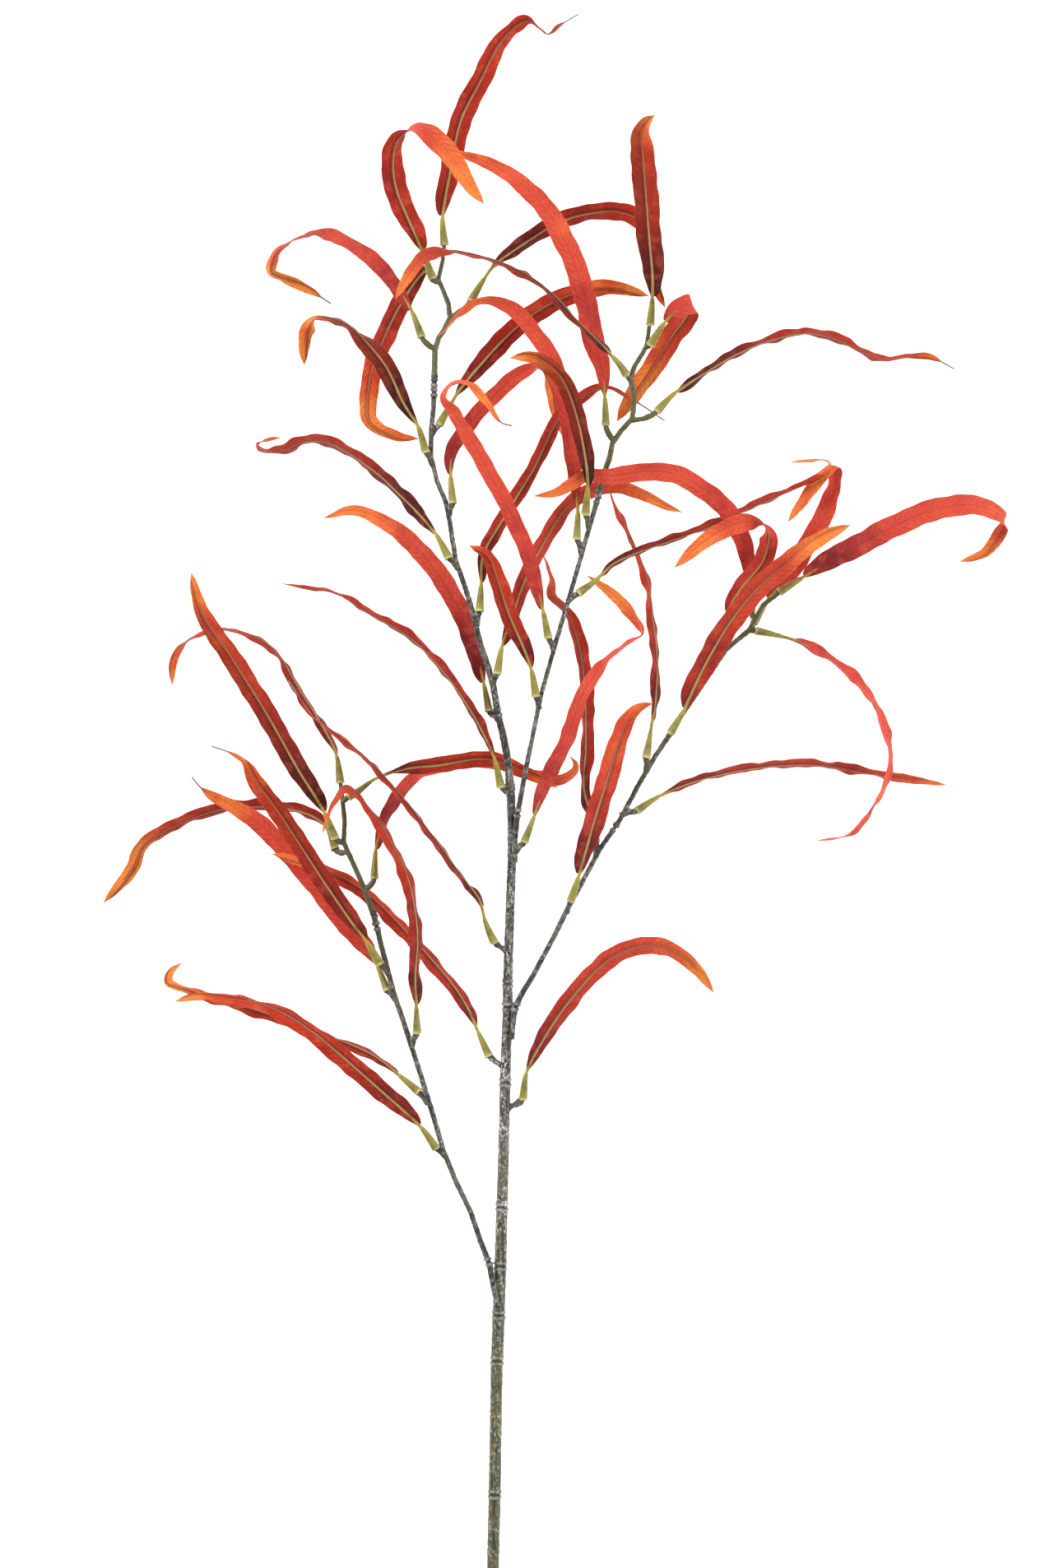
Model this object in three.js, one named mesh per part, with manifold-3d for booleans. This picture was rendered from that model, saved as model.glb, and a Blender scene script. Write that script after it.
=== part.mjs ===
// A cut spray of narrow-leaved eucalyptus in autumn red, lying on a flat surface.
// Millimetres, +Z up. The spray points along +Y, and its rib sides look up along +Z.
// The origin is on the surface, under the middle of the whole spray.
import * as THREE from "three";
import Module from "manifold-3d";
import { mergeVertices } from "three/addons/utils/BufferGeometryUtils.js";

const wasm = await Module();
wasm.setup();

// Driving dimensions
const SPRAY_MIDDLE = new THREE.Vector3(37, 495, 0);
const GAP = 0.35;
const SLEEVE_LENGTH = 15;
const SLEEVE_MOUTH = 2.4;
const SLEEVE_WAIST = 2.05;
const SLEEVE_WAIST_AT = 6;
const SLEEVE_NECK = 1.25;
const STALK = 1.0;
const STALK_LENGTH = 2;
const LONG_STALK = 4;
const WIRE = 0.45;
const BLADE = 0.7;
const RIB_PROUD = 0.7;
const STUB_ROOT = 1.55;
const STUB_END = 1.15;
const COLLAR_SWELL = 0.4;
const COLLAR_HALF = 1.6;

// Blade form. The shares are of the blade's length or of its width.
const RISE_SHARE = 0.25;
const RISE_POWER = 0.3;
const TAPER_FROM = 0.45;
const TAPER_BEND = 2.6;
const TAPER_POWER = 0.6;
const RIB_FADE = 0.6;
const KEEL = 0.2;
const WAVE = 0.8;
const WAVE_LENGTH = 34;
const WAVE_SHIFT = 2.4;
const EDGE_WAVE = 0.05;
const CALM_WIDTH = 4;
const BEND_REACH = 3;
const BEND_ROOM = 0.8;

// How finely the lines are followed
const LINE_STEPS = 16;
const RING_STEP = 17;
const RING_TURN = 34;
const LAST_STEP = 5;
const STUB_SIDES = 6;
const STUB_STOPS = [0, 0.35, 0.7, 1];
const JOINT_REACH = 2;

const FINISHES = {
  bark: new THREE.MeshStandardMaterial({ color: 0x55514a, roughness: 0.8, metalness: 0 }),
  twig: new THREE.MeshStandardMaterial({ color: 0x5f6138, roughness: 0.6, metalness: 0 }),
  leaf: new THREE.MeshStandardMaterial({ color: 0xb8392a, roughness: 0.7, metalness: 0 }),
};

// Stems, each with its centreline from the root up: x, y, z, radius.
// The collars are the moulded joint rings, each at the y where it sits.
const STEMS = {
  main_stem: {
    finish: "bark",
    sides: 8,
    collars: [90, 172, 200, 230, 266, 342, 389, 402],
    line: [
      [-1, 0, 3.45, 3.4], [-0.5, 47, 8, 3.4], [0.5, 90, 13, 3.4], [1.5, 150, 19.5, 3.4], [2, 172, 22, 3.5],
      [3, 200, 25, 3.6], [4, 230, 28.5, 3.5], [5, 266, 32.5, 3.4], [6, 300, 36, 3.3], [7, 342, 40, 3.3],
      [8.5, 389, 45, 3.1], [8.5, 402, 46, 3.0], [10, 450, 50.5, 2.8], [11, 475, 52.5, 2.7],
      [11, 500, 54.5, 2.6], [10.2, 520.5, 56, 2.7],
    ],
  },
  upper_left_branch: {
    finish: "bark",
    sides: 7,
    collars: [566.5, 760, 766],
    line: [
      [10, 521.2, 56.1, 2.6], [9.5, 528.5, 56.8, 2.3], [8, 541.5, 57.6, 2.2], [5.5, 554, 58.3, 2.1],
      [2.5, 566.5, 59, 2.0], [0, 582, 60, 1.9], [-3.5, 595, 60.5, 1.8], [-8.5, 610, 61, 1.7],
      [-12, 625.5, 61.3, 1.6], [-17.5, 643.5, 61.7, 1.5], [-23, 659, 62, 1.4], [-26.5, 682, 62, 1.35],
      [-29, 694.5, 62, 1.3], [-34.5, 707.5, 62, 1.3], [-38, 722.5, 61.5, 1.3], [-37.8, 739.5, 61, 1.3],
      [-36.5, 751.5, 60.5, 1.4], [-36, 769, 60, 1.6],
    ],
  },
  upper_left_twig: {
    finish: "twig",
    sides: 7,
    collars: [],
    line: [
      [-36, 769.7, 60, 1.7], [-35.5, 787, 59.5, 1.6], [-33.5, 794, 59, 1.5], [-30, 799, 59, 1.5],
      [-26.5, 806.5, 58.5, 1.5], [-27.5, 815, 58, 1.4], [-31, 824, 57, 1.3], [-33.5, 830, 56.5, 1.2],
      [-31, 841, 56, 1.1], [-30, 850.6, 56, 1.05],
    ],
  },
  centre_right_branch: {
    finish: "bark",
    sides: 7,
    collars: [505, 696],
    line: [
      [12.5, 477.5, 57.2, 1.6], [13, 490.5, 57.9, 1.5], [14.5, 505, 58.7, 1.5], [19, 529.5, 59.5, 1.4],
      [22.5, 547, 60, 1.35], [28.5, 576.5, 60, 1.3], [38, 610.5, 60, 1.3], [47, 640.5, 60, 1.3],
      [56, 672, 60, 1.3], [60.5, 687.5, 60, 1.4], [64.5, 702, 60, 1.6],
    ],
  },
  centre_right_twig: {
    finish: "twig",
    sides: 7,
    collars: [],
    line: [
      [64.6, 702.5, 60, 1.7], [67, 712, 60, 1.6], [70.5, 722, 60, 1.6], [72, 730, 60, 1.5],
      [77, 737.5, 59.5, 1.5], [84, 745, 59, 1.5], [85.5, 757, 58.5, 1.5], [83, 769.5, 58, 1.4],
      [85.5, 777, 58, 1.4], [90.5, 785, 58, 1.3], [93, 790.5, 58, 1.2], [94.5, 801.6, 58, 1.1],
    ],
  },
  right_branch: {
    finish: "bark",
    sides: 7,
    collars: [387.5, 498],
    line: [
      [11, 370, 47.2, 1.3], [12.5, 385, 48.6, 1.6], [17, 396, 49.2, 1.7], [23.5, 406.5, 49.8, 1.5],
      [36.5, 430.5, 51, 1.5], [45, 448, 51.8, 1.5], [53, 462.5, 52.5, 1.45], [64.5, 484, 53, 1.4],
      [77, 502.5, 53.5, 1.4], [88.5, 524, 54.5, 1.4], [98.5, 541, 55.3, 1.4], [107.5, 554.5, 56, 1.5],
    ],
  },
  right_twig: {
    finish: "twig",
    sides: 7,
    collars: [],
    line: [
      [108, 555.2, 56, 1.6], [114, 565, 56.3, 1.4], [125, 581, 57, 1.3], [141, 605, 58, 1.3],
      [155, 617, 58.5, 1.4], [163.5, 632, 59.5, 1.3], [173.6, 639.8, 61.5, 1.1],
    ],
  },
  left_branch: {
    finish: "bark",
    sides: 7,
    collars: [232, 438],
    line: [
      [2, 205, 31.0, 1.4], [-0.5, 219.5, 31.8, 1.7], [-3, 232, 32.4, 1.7], [-8, 245, 33, 1.6],
      [-14, 263, 34, 1.5], [-22.5, 280.5, 35.5, 1.5], [-30.5, 300, 37, 1.5], [-38, 326, 39.5, 1.5],
      [-49, 361, 42, 1.5], [-55, 379.5, 43.7, 1.5], [-60, 394, 45, 1.5], [-68, 424, 47.2, 1.5],
      [-72.5, 443, 48.5, 1.6],
    ],
  },
  left_twig: {
    finish: "twig",
    sides: 7,
    collars: [],
    line: [
      [-72.7, 443.7, 48.6, 1.7], [-75.5, 450.5, 49, 1.5], [-78.5, 460, 49.7, 1.4], [-83, 470, 50.5, 1.4],
      [-87.5, 480, 51.3, 1.4], [-91, 488, 52, 1.4], [-90.5, 501.5, 53, 1.3], [-91.5, 511, 53.6, 1.3],
      [-93, 524.6, 54, 1.2],
    ],
  },
};

// Leaves: the stem each grows from, its widest width, and its centreline from the sleeve's mouth
// to the tip: x, y, z and the way its rib side looks, in degrees about the leaf from straight up.
// Some have a longer bare stalk above the sleeve, and some a bare wire past the tip.
const LEAVES = [
  { on: "upper_left_twig", wide: 13.5, wire: 8, line: [
    [-30, 851.5, 56, 0], [-31, 867, 55, 0], [-26.5, 894, 51, 0], [-20, 926, 51, 5], [-8, 950, 54, 10],
    [5, 974.5, 58, 25], [20, 986.5, 61, 55], [26, 983, 62, 85], [33, 978, 62, 80], [40, 983.5, 62, 60],
    [51.5, 990.5, 60, 60]] },
  { on: "upper_left_twig", wide: 13, line: [
    [-37.5, 831, 60.5, 0], [-42, 844, 62, 0], [-50, 862, 64, 5], [-59, 884, 67, 5], [-61, 903, 70, 20],
    [-57.5, 915, 73, 60], [-48, 920, 75, 120], [-37, 915, 75, 160], [-26, 904, 73, 180],
    [-13, 884, 70, 180], [-6, 875.5, 68, 170]] },
  { on: "centre_right_twig", wide: 15, line: [
    [68, 742, 60, 160], [67.5, 758, 60, 170], [65.5, 777, 61, 180], [60, 795, 62, 180],
    [55, 820, 64, 180], [44.5, 849.5, 67, 180], [27.5, 877, 69, 180], [1.5, 897.5, 67, 180],
    [-26.5, 908, 62, 175]] },
  { on: "upper_left_twig", wide: 11, wire: 6, line: [
    [-44, 795.5, 60, 160], [-50.5, 812, 58, 170], [-65, 834, 52, 155], [-88, 853, 41, 140],
    [-102, 858.5, 33, 125], [-115, 858, 24, 105], [-126, 853, 17, 70], [-134.5, 845, 9.5, 60],
    [-136, 836, 5.5, 58], [-127, 831.5, 3.2, 35], [-112, 825, 0.2, 0], [-99.5, 817, 0, 0]] },
  { on: "centre_right_twig", wide: 13, line: [
    [80, 772.5, 62.5, 0], [76.5, 777.5, 66, 30], [68, 786.5, 73, 64], [52, 802, 77, 71],
    [32, 823, 79, 75], [11.5, 836, 79, 75], [-10, 843.5, 78, 78], [-28.5, 846.5, 76, 100],
    [-42, 843.5, 74, 145], [-52.5, 830, 71, 165], [-59.5, 817.5, 67, 170]] },
  { on: "upper_left_twig", wide: 13.5, line: [
    [-36.5, 830.5, 52, 0], [-38.5, 835, 40, 0], [-43, 834.5, 32, 0], [-55.5, 817.5, 26, 0],
    [-65, 799, 25, 0], [-73, 779, 26, 5], [-76.5, 758, 29, 10], [-74.5, 743.5, 33, 20],
    [-62, 736, 36, 20], [-46, 733.5, 38, 0]] },
  { on: "upper_left_branch", wide: 13, line: [
    [-41.5, 725.5, 64.5, 0], [-46, 740.5, 66, 0], [-54, 753, 67, 0], [-65, 776, 65, 10],
    [-76, 790, 60, 30], [-86, 800, 54, 70], [-96, 805.5, 47, 80], [-107, 807.5, 39, 75],
    [-113, 801, 33, 20], [-115.5, 791, 28, 0], [-115.5, 779, 23, 0]] },
  { on: "upper_left_branch", wide: 13, line: [
    [-27.5, 661, 65.5, 0], [-36, 676.5, 63, -35], [-53.5, 696, 56, -52], [-74, 715, 47, -56],
    [-100, 731, 35, -60], [-116.5, 732, 27, -62], [-128, 727, 20, -62], [-138, 726, 14, -75],
    [-145, 729.5, 9, -90], [-139, 734, 6, -75], [-130.5, 735, 3.5, -40]] },
  { on: "upper_left_branch", wide: 12.5, line: [
    [-3, 568.5, 56, 155], [-5.5, 582, 54, 165], [-12.5, 610, 52, 180], [-30, 646, 49, 180],
    [-56, 675.5, 42, 175], [-84, 690, 33, 165], [-103.5, 685.5, 26, 160]] },
  { on: "main_stem", wide: 12.5, line: [
    [4.2, 522.5, 59.5, 0], [0, 540.5, 62.5, -25], [-10, 562, 64, -58], [-25.5, 586, 63, -62],
    [-48.5, 611, 58, -63], [-76.5, 628, 50, -66], [-97.5, 640, 43, -72], [-110, 642, 38, -70],
    [-129, 645.5, 31, -58]] },
  { on: "left_twig", wide: 14, line: [
    [-96.5, 491.5, 56, 0], [-102.5, 506, 60, 0], [-117.5, 530.5, 65, -5], [-139, 568.5, 68, 0],
    [-162.5, 605.5, 64, 5], [-176, 626, 59, 5], [-183.5, 651.5, 51, 10]] },
  { on: "left_twig", wide: 10.5, line: [
    [-93.1, 525.1, 54, 0], [-95.5, 541, 53, 30], [-105, 559.5, 48, 58], [-120.5, 584, 41, 64],
    [-131, 602, 35, 68], [-145.5, 613, 28, 72], [-163.5, 618, 20, 74], [-179, 615.5, 12.5, 74],
    [-190, 608.5, 6.5, 66], [-196, 598, 2, 35], [-196.5, 584, 0, 0]] },
  { on: "main_stem", wide: 12, stalk: 8, wire: 7, line: [
    [0, 428, 51, 0], [-4.5, 438, 54, 20], [-8.5, 452, 58, 52], [-20, 468, 63, 70], [-46, 503.5, 69, 74],
    [-75.5, 537.5, 70, 75], [-98, 556, 68, 74], [-112, 567, 66, 75], [-120, 579.5, 63, 75],
    [-124.5, 586, 61, 75]] },
  { on: "left_twig", wide: 12, line: [
    [-96.5, 484.5, 46, 0], [-101, 496.5, 40, -20], [-110, 504, 33, -52], [-124.5, 508.5, 26, -57],
    [-145.5, 510, 18.5, -56], [-165.5, 508.5, 14.5, -55], [-186, 502, 11.5, -55],
    [-203.5, 493.5, 9, -52], [-215, 485, 5.5, -42], [-219.5, 474.5, 2.5, -20], [-227, 464, 0.4, 0],
    [-238.5, 451, 0, 0]] },
  { on: "left_branch", wide: 12.5, wire: 8, line: [
    [-69.5, 415, 50.5, 0], [-76, 426, 54, -5], [-88.5, 443, 58, -10], [-103.5, 465, 61, 0],
    [-131, 507, 61, 5], [-145, 526, 58, 15], [-151, 537.5, 56, 45], [-160, 542.5, 55, 65],
    [-171.5, 546.5, 54, 65]] },
  { on: "left_branch", wide: 13, wire: 8, line: [
    [-65, 398.5, 43, 155], [-71.5, 414, 39, 165], [-88, 435.5, 34, 175], [-115, 470, 28, 180],
    [-143.5, 500, 27, 175], [-167.5, 514.5, 28, 170], [-176, 519, 29, 170], [-184, 528, 31, 170]] },
  { on: "main_stem", wide: 12.5, stalk: 5, line: [
    [-3, 358.5, 41, 0], [-8.5, 370.5, 39, 20], [-20, 393.5, 36, 48], [-50.5, 430, 34.5, 50],
    [-82, 460, 36, 48], [-110, 474, 38.5, 35], [-134.5, 481, 38, 25]] },
  { on: "left_branch", wide: 13, line: [
    [-46.5, 373, 46, 0], [-47, 388, 49, 30], [-48, 408, 53, 50], [-46.5, 432, 58, 54],
    [-53.5, 470, 64, 58], [-66, 494, 67, 63], [-79, 513, 70, 68], [-89.5, 521, 71, 70],
    [-98, 511, 70, 62], [-103.5, 494, 68, 50]] },
  { on: "left_twig", wide: 10.5, stalk: 8, line: [
    [-87.5, 516, 57, 0], [-80, 520.5, 57, 20], [-73, 526, 56, 60], [-53.5, 533, 54, 50],
    [-36.5, 534.5, 51.5, 15], [-4, 538.5, 46, 8], [14.5, 532.5, 45, 5], [38.5, 521.5, 45, 0]] },
  { on: "left_twig", wide: 10.5, line: [
    [-72.5, 467, 50.5, 130], [-71.5, 484, 49.5, 150], [-66.5, 501.5, 47.5, 140], [-59, 515, 44.5, 140],
    [-48, 527, 40.5, 140], [-36, 532, 37.5, 122], [-10, 534.5, 34.5, 110], [20, 531, 34, 112],
    [38, 525.5, 38, 150], [49, 531, 45, 165], [49.5, 537, 50, 150], [46.5, 540, 53, 140]] },
  { on: "left_branch", wide: 13, line: [
    [-35.5, 302.5, 40.5, 0], [-44, 314.5, 43, 0], [-64.5, 333.5, 46, 0], [-89, 355, 46, 10],
    [-113, 374.5, 43, 35], [-137.5, 388, 37, 50], [-161.5, 392.5, 32, 48], [-179.5, 394.5, 28, 30],
    [-194, 391, 24, 15]] },
  { on: "left_branch", wide: 10.5, line: [
    [-46, 336.5, 39, 0], [-56, 345, 37, 25], [-72, 357, 33, 58], [-89, 365, 28.5, 60],
    [-120, 376.5, 22.5, 60], [-149.5, 386.5, 17.5, 58], [-170, 392.5, 13, 58], [-188, 398.5, 8.5, 50],
    [-198.5, 402.5, 4.5, 25], [-198, 408, 2, 0], [-191, 414, 0.4, 0]] },
  { on: "main_stem", wide: 12, line: [
    [18, 332.5, 41, 0], [20, 348, 44, 10], [29, 366.5, 49, 20], [45, 390.5, 53, 18],
    [71, 417.5, 53, 12], [96, 425.5, 46, 12], [118.5, 415.5, 34, 15], [134, 396.5, 21, 15]] },
  { on: "right_branch", wide: 14.5, line: [
    [47, 453, 58, 0], [51.5, 467, 61, 0], [60.5, 499, 66, 0], [68.5, 525, 67, 0], [76, 550, 65.5, 8],
    [81, 562, 64, 20], [87.5, 569, 62.5, 35], [96.5, 572.5, 61, 40]] },
  { on: "right_branch", wide: 12.5, line: [
    [62, 489, 50, 0], [60, 503.5, 47, -20], [55.5, 519, 44, -48], [56.5, 547.5, 43, -50],
    [56, 578.5, 43, -44], [53, 604, 44, -44], [45.5, 626.5, 46, -50], [35, 638, 48, -60],
    [34.5, 649, 48, -62], [30, 663, 47, -62]] },
  { on: "centre_right_branch", wide: 11, line: [
    [19, 489, 61, 160], [24.5, 503.5, 62.5, 155], [33.5, 527.5, 65, 150], [44.5, 550, 66, 150],
    [54, 577, 65, 145], [63, 591.5, 62, 130], [74.5, 603.5, 58, 108], [85.5, 611, 54, 95],
    [91, 615.5, 52, 98], [87.5, 622, 51, 130], [73, 638, 51, 165], [57, 650, 52, 180]] },
  { on: "right_branch", wide: 12, stalk: 8, line: [
    [92.5, 540, 58.5, 0], [95, 554, 56, 30], [98, 575.5, 51, 58], [99, 599, 46, 62],
    [96.5, 621.5, 43, 64], [94.5, 641.5, 41, 68], [89, 660.5, 40, 72], [80.5, 679.5, 40, 74],
    [73.5, 694, 41, 72], [68.5, 710, 43, 66]] },
  { on: "centre_right_branch", wide: 11.5, line: [
    [25.5, 577.5, 64.8, 0], [23, 592, 66.5, 0], [18.5, 605, 68, 0], [9, 627, 69, 0],
    [1.5, 650.5, 69, 0], [-3.5, 662, 67, 25], [-14.5, 668, 64, 30]] },
  { on: "right_twig", wide: 12, line: [
    [156.5, 629, 54, 150], [157.5, 644, 52.5, 165], [155.5, 657, 52.5, 180], [147, 681.5, 56, 180],
    [132, 698.5, 60, 180], [110.5, 711, 64, 175], [92, 713, 66, 170], [73.5, 710, 66.8, 165],
    [56, 710.5, 67, 150], [40, 701, 67.3, 150], [25, 698, 66, 160]] },
  { on: "centre_right_branch", wide: 12, line: [
    [55.8, 688, 65.5, 0], [57, 704, 71, 0], [55.5, 721.5, 76, 0], [48, 753.5, 79, 0],
    [39.5, 771, 80, 0], [24.5, 781.5, 79, 10], [10, 781.5, 76, 25]] },
  { on: "centre_right_branch", wide: 11, line: [
    [50.5, 673, 60, 150], [51, 690, 61, 170], [49, 710, 61.5, 180], [46, 739, 63, 180],
    [37, 777, 65, 180], [24.5, 797.5, 67, 175], [9, 813, 69, 155], [-7.5, 817, 70, 125],
    [-20.5, 808.5, 70, 115], [-33.5, 794.5, 68.5, 115]] },
  { on: "right_branch", wide: 14, line: [
    [107.5, 555, 61.5, 0], [115, 567.5, 64.5, 0], [124.5, 588.5, 69, 0], [142.5, 620, 74, -5],
    [160.5, 642.5, 76, 0], [176, 655.5, 75, 10], [195, 670.5, 71, 10], [216, 680.5, 65, 20]] },
  { on: "right_twig", wide: 13.5, line: [
    [139.5, 611.5, 56, 0], [141, 626, 57, 0], [151, 643, 59, 0], [163, 658, 62, 0],
    [166.5, 671, 66, 10], [164, 680, 71, 90], [153, 682, 73, 165], [140, 678, 71, 180],
    [126, 669, 67, 180], [110, 655, 62, 175]] },
  { on: "right_twig", wide: 12, line: [
    [158.5, 622, 53, 180], [168, 637.5, 48.5, 180], [180, 651, 46, 180], [193.5, 674, 44.5, 180],
    [203, 692, 43.5, 168], [208, 708, 43.5, 125], [206.5, 717, 48.5, 92], [200, 712, 52.5, 55],
    [190, 699, 52, 20], [179, 683, 49, 8]] },
  { on: "right_twig", wide: 13, line: [
    [174, 640.2, 61.7, 160], [187, 648.5, 62.5, 168], [207, 660.5, 61, 180], [240, 678.5, 52, 180],
    [264, 689, 41.5, 175], [288, 693.5, 28, 170], [303, 690.5, 17, 160], [311.5, 684, 9, 100],
    [308, 675, 3, 15], [300, 665, 0, 0], [285, 659.5, 0, 0]] },
  { on: "centre_right_branch", wide: 11, line: [
    [52, 639.5, 61.5, 0], [62, 647, 60.5, 30], [72.5, 657.5, 57, 62], [96, 667.5, 51.5, 66],
    [129.5, 679.5, 46.5, 66], [163.5, 695, 48.5, 68], [192, 707, 57.5, 70], [203, 713, 62, 72],
    [203.5, 719, 64, 72], [195, 720, 64, 72], [180, 718.5, 63, 70]] },
  { on: "right_twig", wide: 12, stalk: 8, line: [
    [160, 616.2, 59.5, 150], [168, 614.5, 60.5, 140], [183, 610.5, 61, 122], [204, 599, 60, 120],
    [223.5, 582.5, 56, 117], [236, 560, 50, 114], [240.5, 540, 43, 110], [236.5, 521, 36, 106],
    [227.5, 505, 29, 104], [216.5, 493, 23, 106], [197.5, 489, 17, 120]] },
  { on: "right_branch", wide: 10.5, line: [
    [87.5, 507.5, 54, 0], [97, 514, 52.5, 30], [115, 523, 49, 58], [152.5, 532.5, 40, 60],
    [194, 535.5, 29, 58], [230, 530, 18, 55], [248, 527, 12, 45], [276, 523, 3, 20]] },
  { on: "centre_right_twig", wide: 11, wire: 8, line: [
    [99.5, 750, 60, 0], [108, 759, 60, 30], [128.5, 773.5, 57, 58], [146, 784, 53, 63],
    [170, 794, 45, 64], [193, 798, 36, 63], [211, 793.5, 27, 62], [230, 784.5, 17, 70],
    [240, 782, 12, 75], [250, 784, 8, 62], [266.5, 784.5, 2.5, 40], [281.5, 777, 0.5, 20]] },
  { on: "centre_right_twig", wide: 16, line: [
    [95, 802.7, 58, 0], [96.3, 820, 60.5, 0], [96, 835, 63.5, 0], [94, 857, 67, 0], [92, 885, 68, 0],
    [90.5, 905, 66, 5], [90, 918, 62, 30], [97.5, 929.5, 56, 60]] },
  { on: "centre_right_twig", wide: 14, line: [
    [95.5, 790.5, 62.5, 180], [102, 801, 67, 180], [111, 810.5, 69, 180], [120.5, 814, 63, 130],
    [118, 808, 55, 30], [108, 795, 51, 0], [96, 776, 49, 0], [84, 759, 48, 0], [75, 744, 48, 0]] },
  { on: "upper_left_branch", wide: 13, stalk: 5, line: [
    [-32.5, 742, 62, 0], [-26.5, 753, 61, 0], [-21, 762, 59, 0], [-3, 783.5, 54, 5], [13, 800, 50, 10],
    [34, 815, 47, 5], [63, 825, 46, 0], [80, 824, 46, 10], [94, 820, 46.5, 20]] },
  { on: "upper_left_twig", wide: 12.5, stalk: 8, line: [
    [-13.5, 817, 60, 0], [-8.5, 825.5, 59, 10], [0.5, 838.5, 57, 25], [13, 848, 55, 35],
    [44, 866.5, 51, 35], [76, 871, 48, 28], [90, 864, 46, 15], [95.5, 845, 46, 0], [97.5, 828, 47, 0],
    [104, 813, 49, 0]] },
  { on: "upper_left_branch", wide: 12, line: [
    [-24.7, 694.5, 65, 160], [-26, 711, 62, 175], [-24, 727.5, 59, 180], [-3, 756, 53, 180],
    [17, 773, 48.5, 175], [28, 776, 46.5, 90], [35.5, 763, 45.5, 15], [38, 748, 45, 5],
    [45, 731, 45, 0]] },
  { on: "upper_left_branch", wide: 10, wire: 16, line: [
    [-8.5, 629, 64.5, 0], [-7.5, 646, 61.5, 5], [-6.5, 662, 58.5, 20], [5.5, 684, 55.5, 22],
    [24.5, 715.5, 54, 22], [41.5, 748.5, 53.5, 22], [52, 757, 53, 30], [63.5, 764, 52, 50],
    [71, 763.5, 51.5, 60], [87.5, 755, 51, 60], [104, 744, 50.5, 60]] },
  { on: "centre_right_branch", wide: 11, wire: 6, line: [
    [33, 613, 63.5, 160], [29, 633, 66, 172], [21.5, 660.5, 70, 180], [6.5, 695, 73, 180],
    [-11, 726.5, 74, 172], [-24, 749, 74, 140], [-30, 757.5, 74, 110], [-25.5, 765, 74, 105],
    [-16, 766, 74, 120], [-7.5, 758.5, 74, 140], [5.5, 742, 72, 150], [11.5, 740.5, 71, 150]] },
  { on: "upper_left_branch", wide: 10, line: [
    [2.3, 591, 63.5, 0], [5, 606.5, 61.5, 0], [9, 618.5, 59.5, 10], [18, 645, 56, 15],
    [29, 667.5, 53.5, 18], [49, 696, 51.5, 18], [70, 704, 51, 10], [86, 701, 51, 0], [105, 692, 51, 0],
    [114.5, 688.5, 51, 0]] },
];

/** Points along a smooth line through the given stations, close together, with their distances. */
function trace(stations) {
  const points = stations.map(([x, y, z]) => new THREE.Vector3(x, y, z).sub(SPRAY_MIDDLE));
  const curve = new THREE.CatmullRomCurve3(points, false, "centripetal");
  const steps = LINE_STEPS * (points.length - 1);
  const path = [];
  let distance = 0;
  for (let i = 0; i <= steps; i++) {
    const point = curve.getPoint(i / steps);
    distance += i ? point.distanceTo(path[i - 1].point) : 0;
    path.push({ point, distance });
  }
  path.forEach((here, i) => {
    const before = path[Math.max(i - 1, 0)].point;
    const after = path[Math.min(i + 1, steps)].point;
    here.along = after.clone().sub(before).normalize();
  });
  return path;
}

/** Carries an upright direction along a path without twist, starting as near +Z as it can. */
function carryUpright(path) {
  let up = square(new THREE.Vector3(0, 0, 1), path[0].along);
  path.forEach((here, i) => {
    if (i) {
      const turn = new THREE.Quaternion().setFromUnitVectors(path[i - 1].along, here.along);
      up = square(up.clone().applyQuaternion(turn), here.along);
    }
    here.up = up;
  });
}

function square(direction, along) {
  return direction.clone().addScaledVector(along, -direction.dot(along)).normalize();
}

/** Turns the carried direction to the face angle that each station asks for, evenly between them. */
function face(path, stations) {
  carryUpright(path);
  let last = 0;
  const turns = stations.map((station, i) => {
    const here = path[i * LINE_STEPS];
    const wanted = square(new THREE.Vector3(0, 0, 1), here.along)
      .applyAxisAngle(here.along, THREE.MathUtils.degToRad(station[3]));
    const side = here.along.clone().cross(here.up);
    let turn = Math.atan2(wanted.dot(side), wanted.dot(here.up));
    turn += 2 * Math.PI * Math.round((last - turn) / (2 * Math.PI));
    last = turn;
    return turn;
  });
  path.forEach((here, i) => {
    const k = Math.min(Math.floor(i / LINE_STEPS), turns.length - 2);
    const share = i / LINE_STEPS - k;
    const turn = turns[k] + (turns[k + 1] - turns[k]) * share;
    here.face = here.up.clone().applyAxisAngle(here.along, turn);
    here.side = here.along.clone().cross(here.face);
  });
}

/** The place on a path at one distance along it. */
function at(path, distance) {
  let i = path.findIndex((here) => here.distance >= distance);
  if (i < 1) i = i ? path.length - 1 : 1;
  const [a, b] = [path[i - 1], path[i]];
  const share = THREE.MathUtils.clamp((distance - a.distance) / (b.distance - a.distance), 0, 1);
  const mix = (name) => a[name].clone().lerp(b[name], share);
  const place = { point: mix("point"), along: mix("along").normalize() };
  place.face = square((a.face ?? a.up).clone().lerp(b.face ?? b.up, share), place.along);
  place.side = place.along.clone().cross(place.face);
  return place;
}

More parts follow.
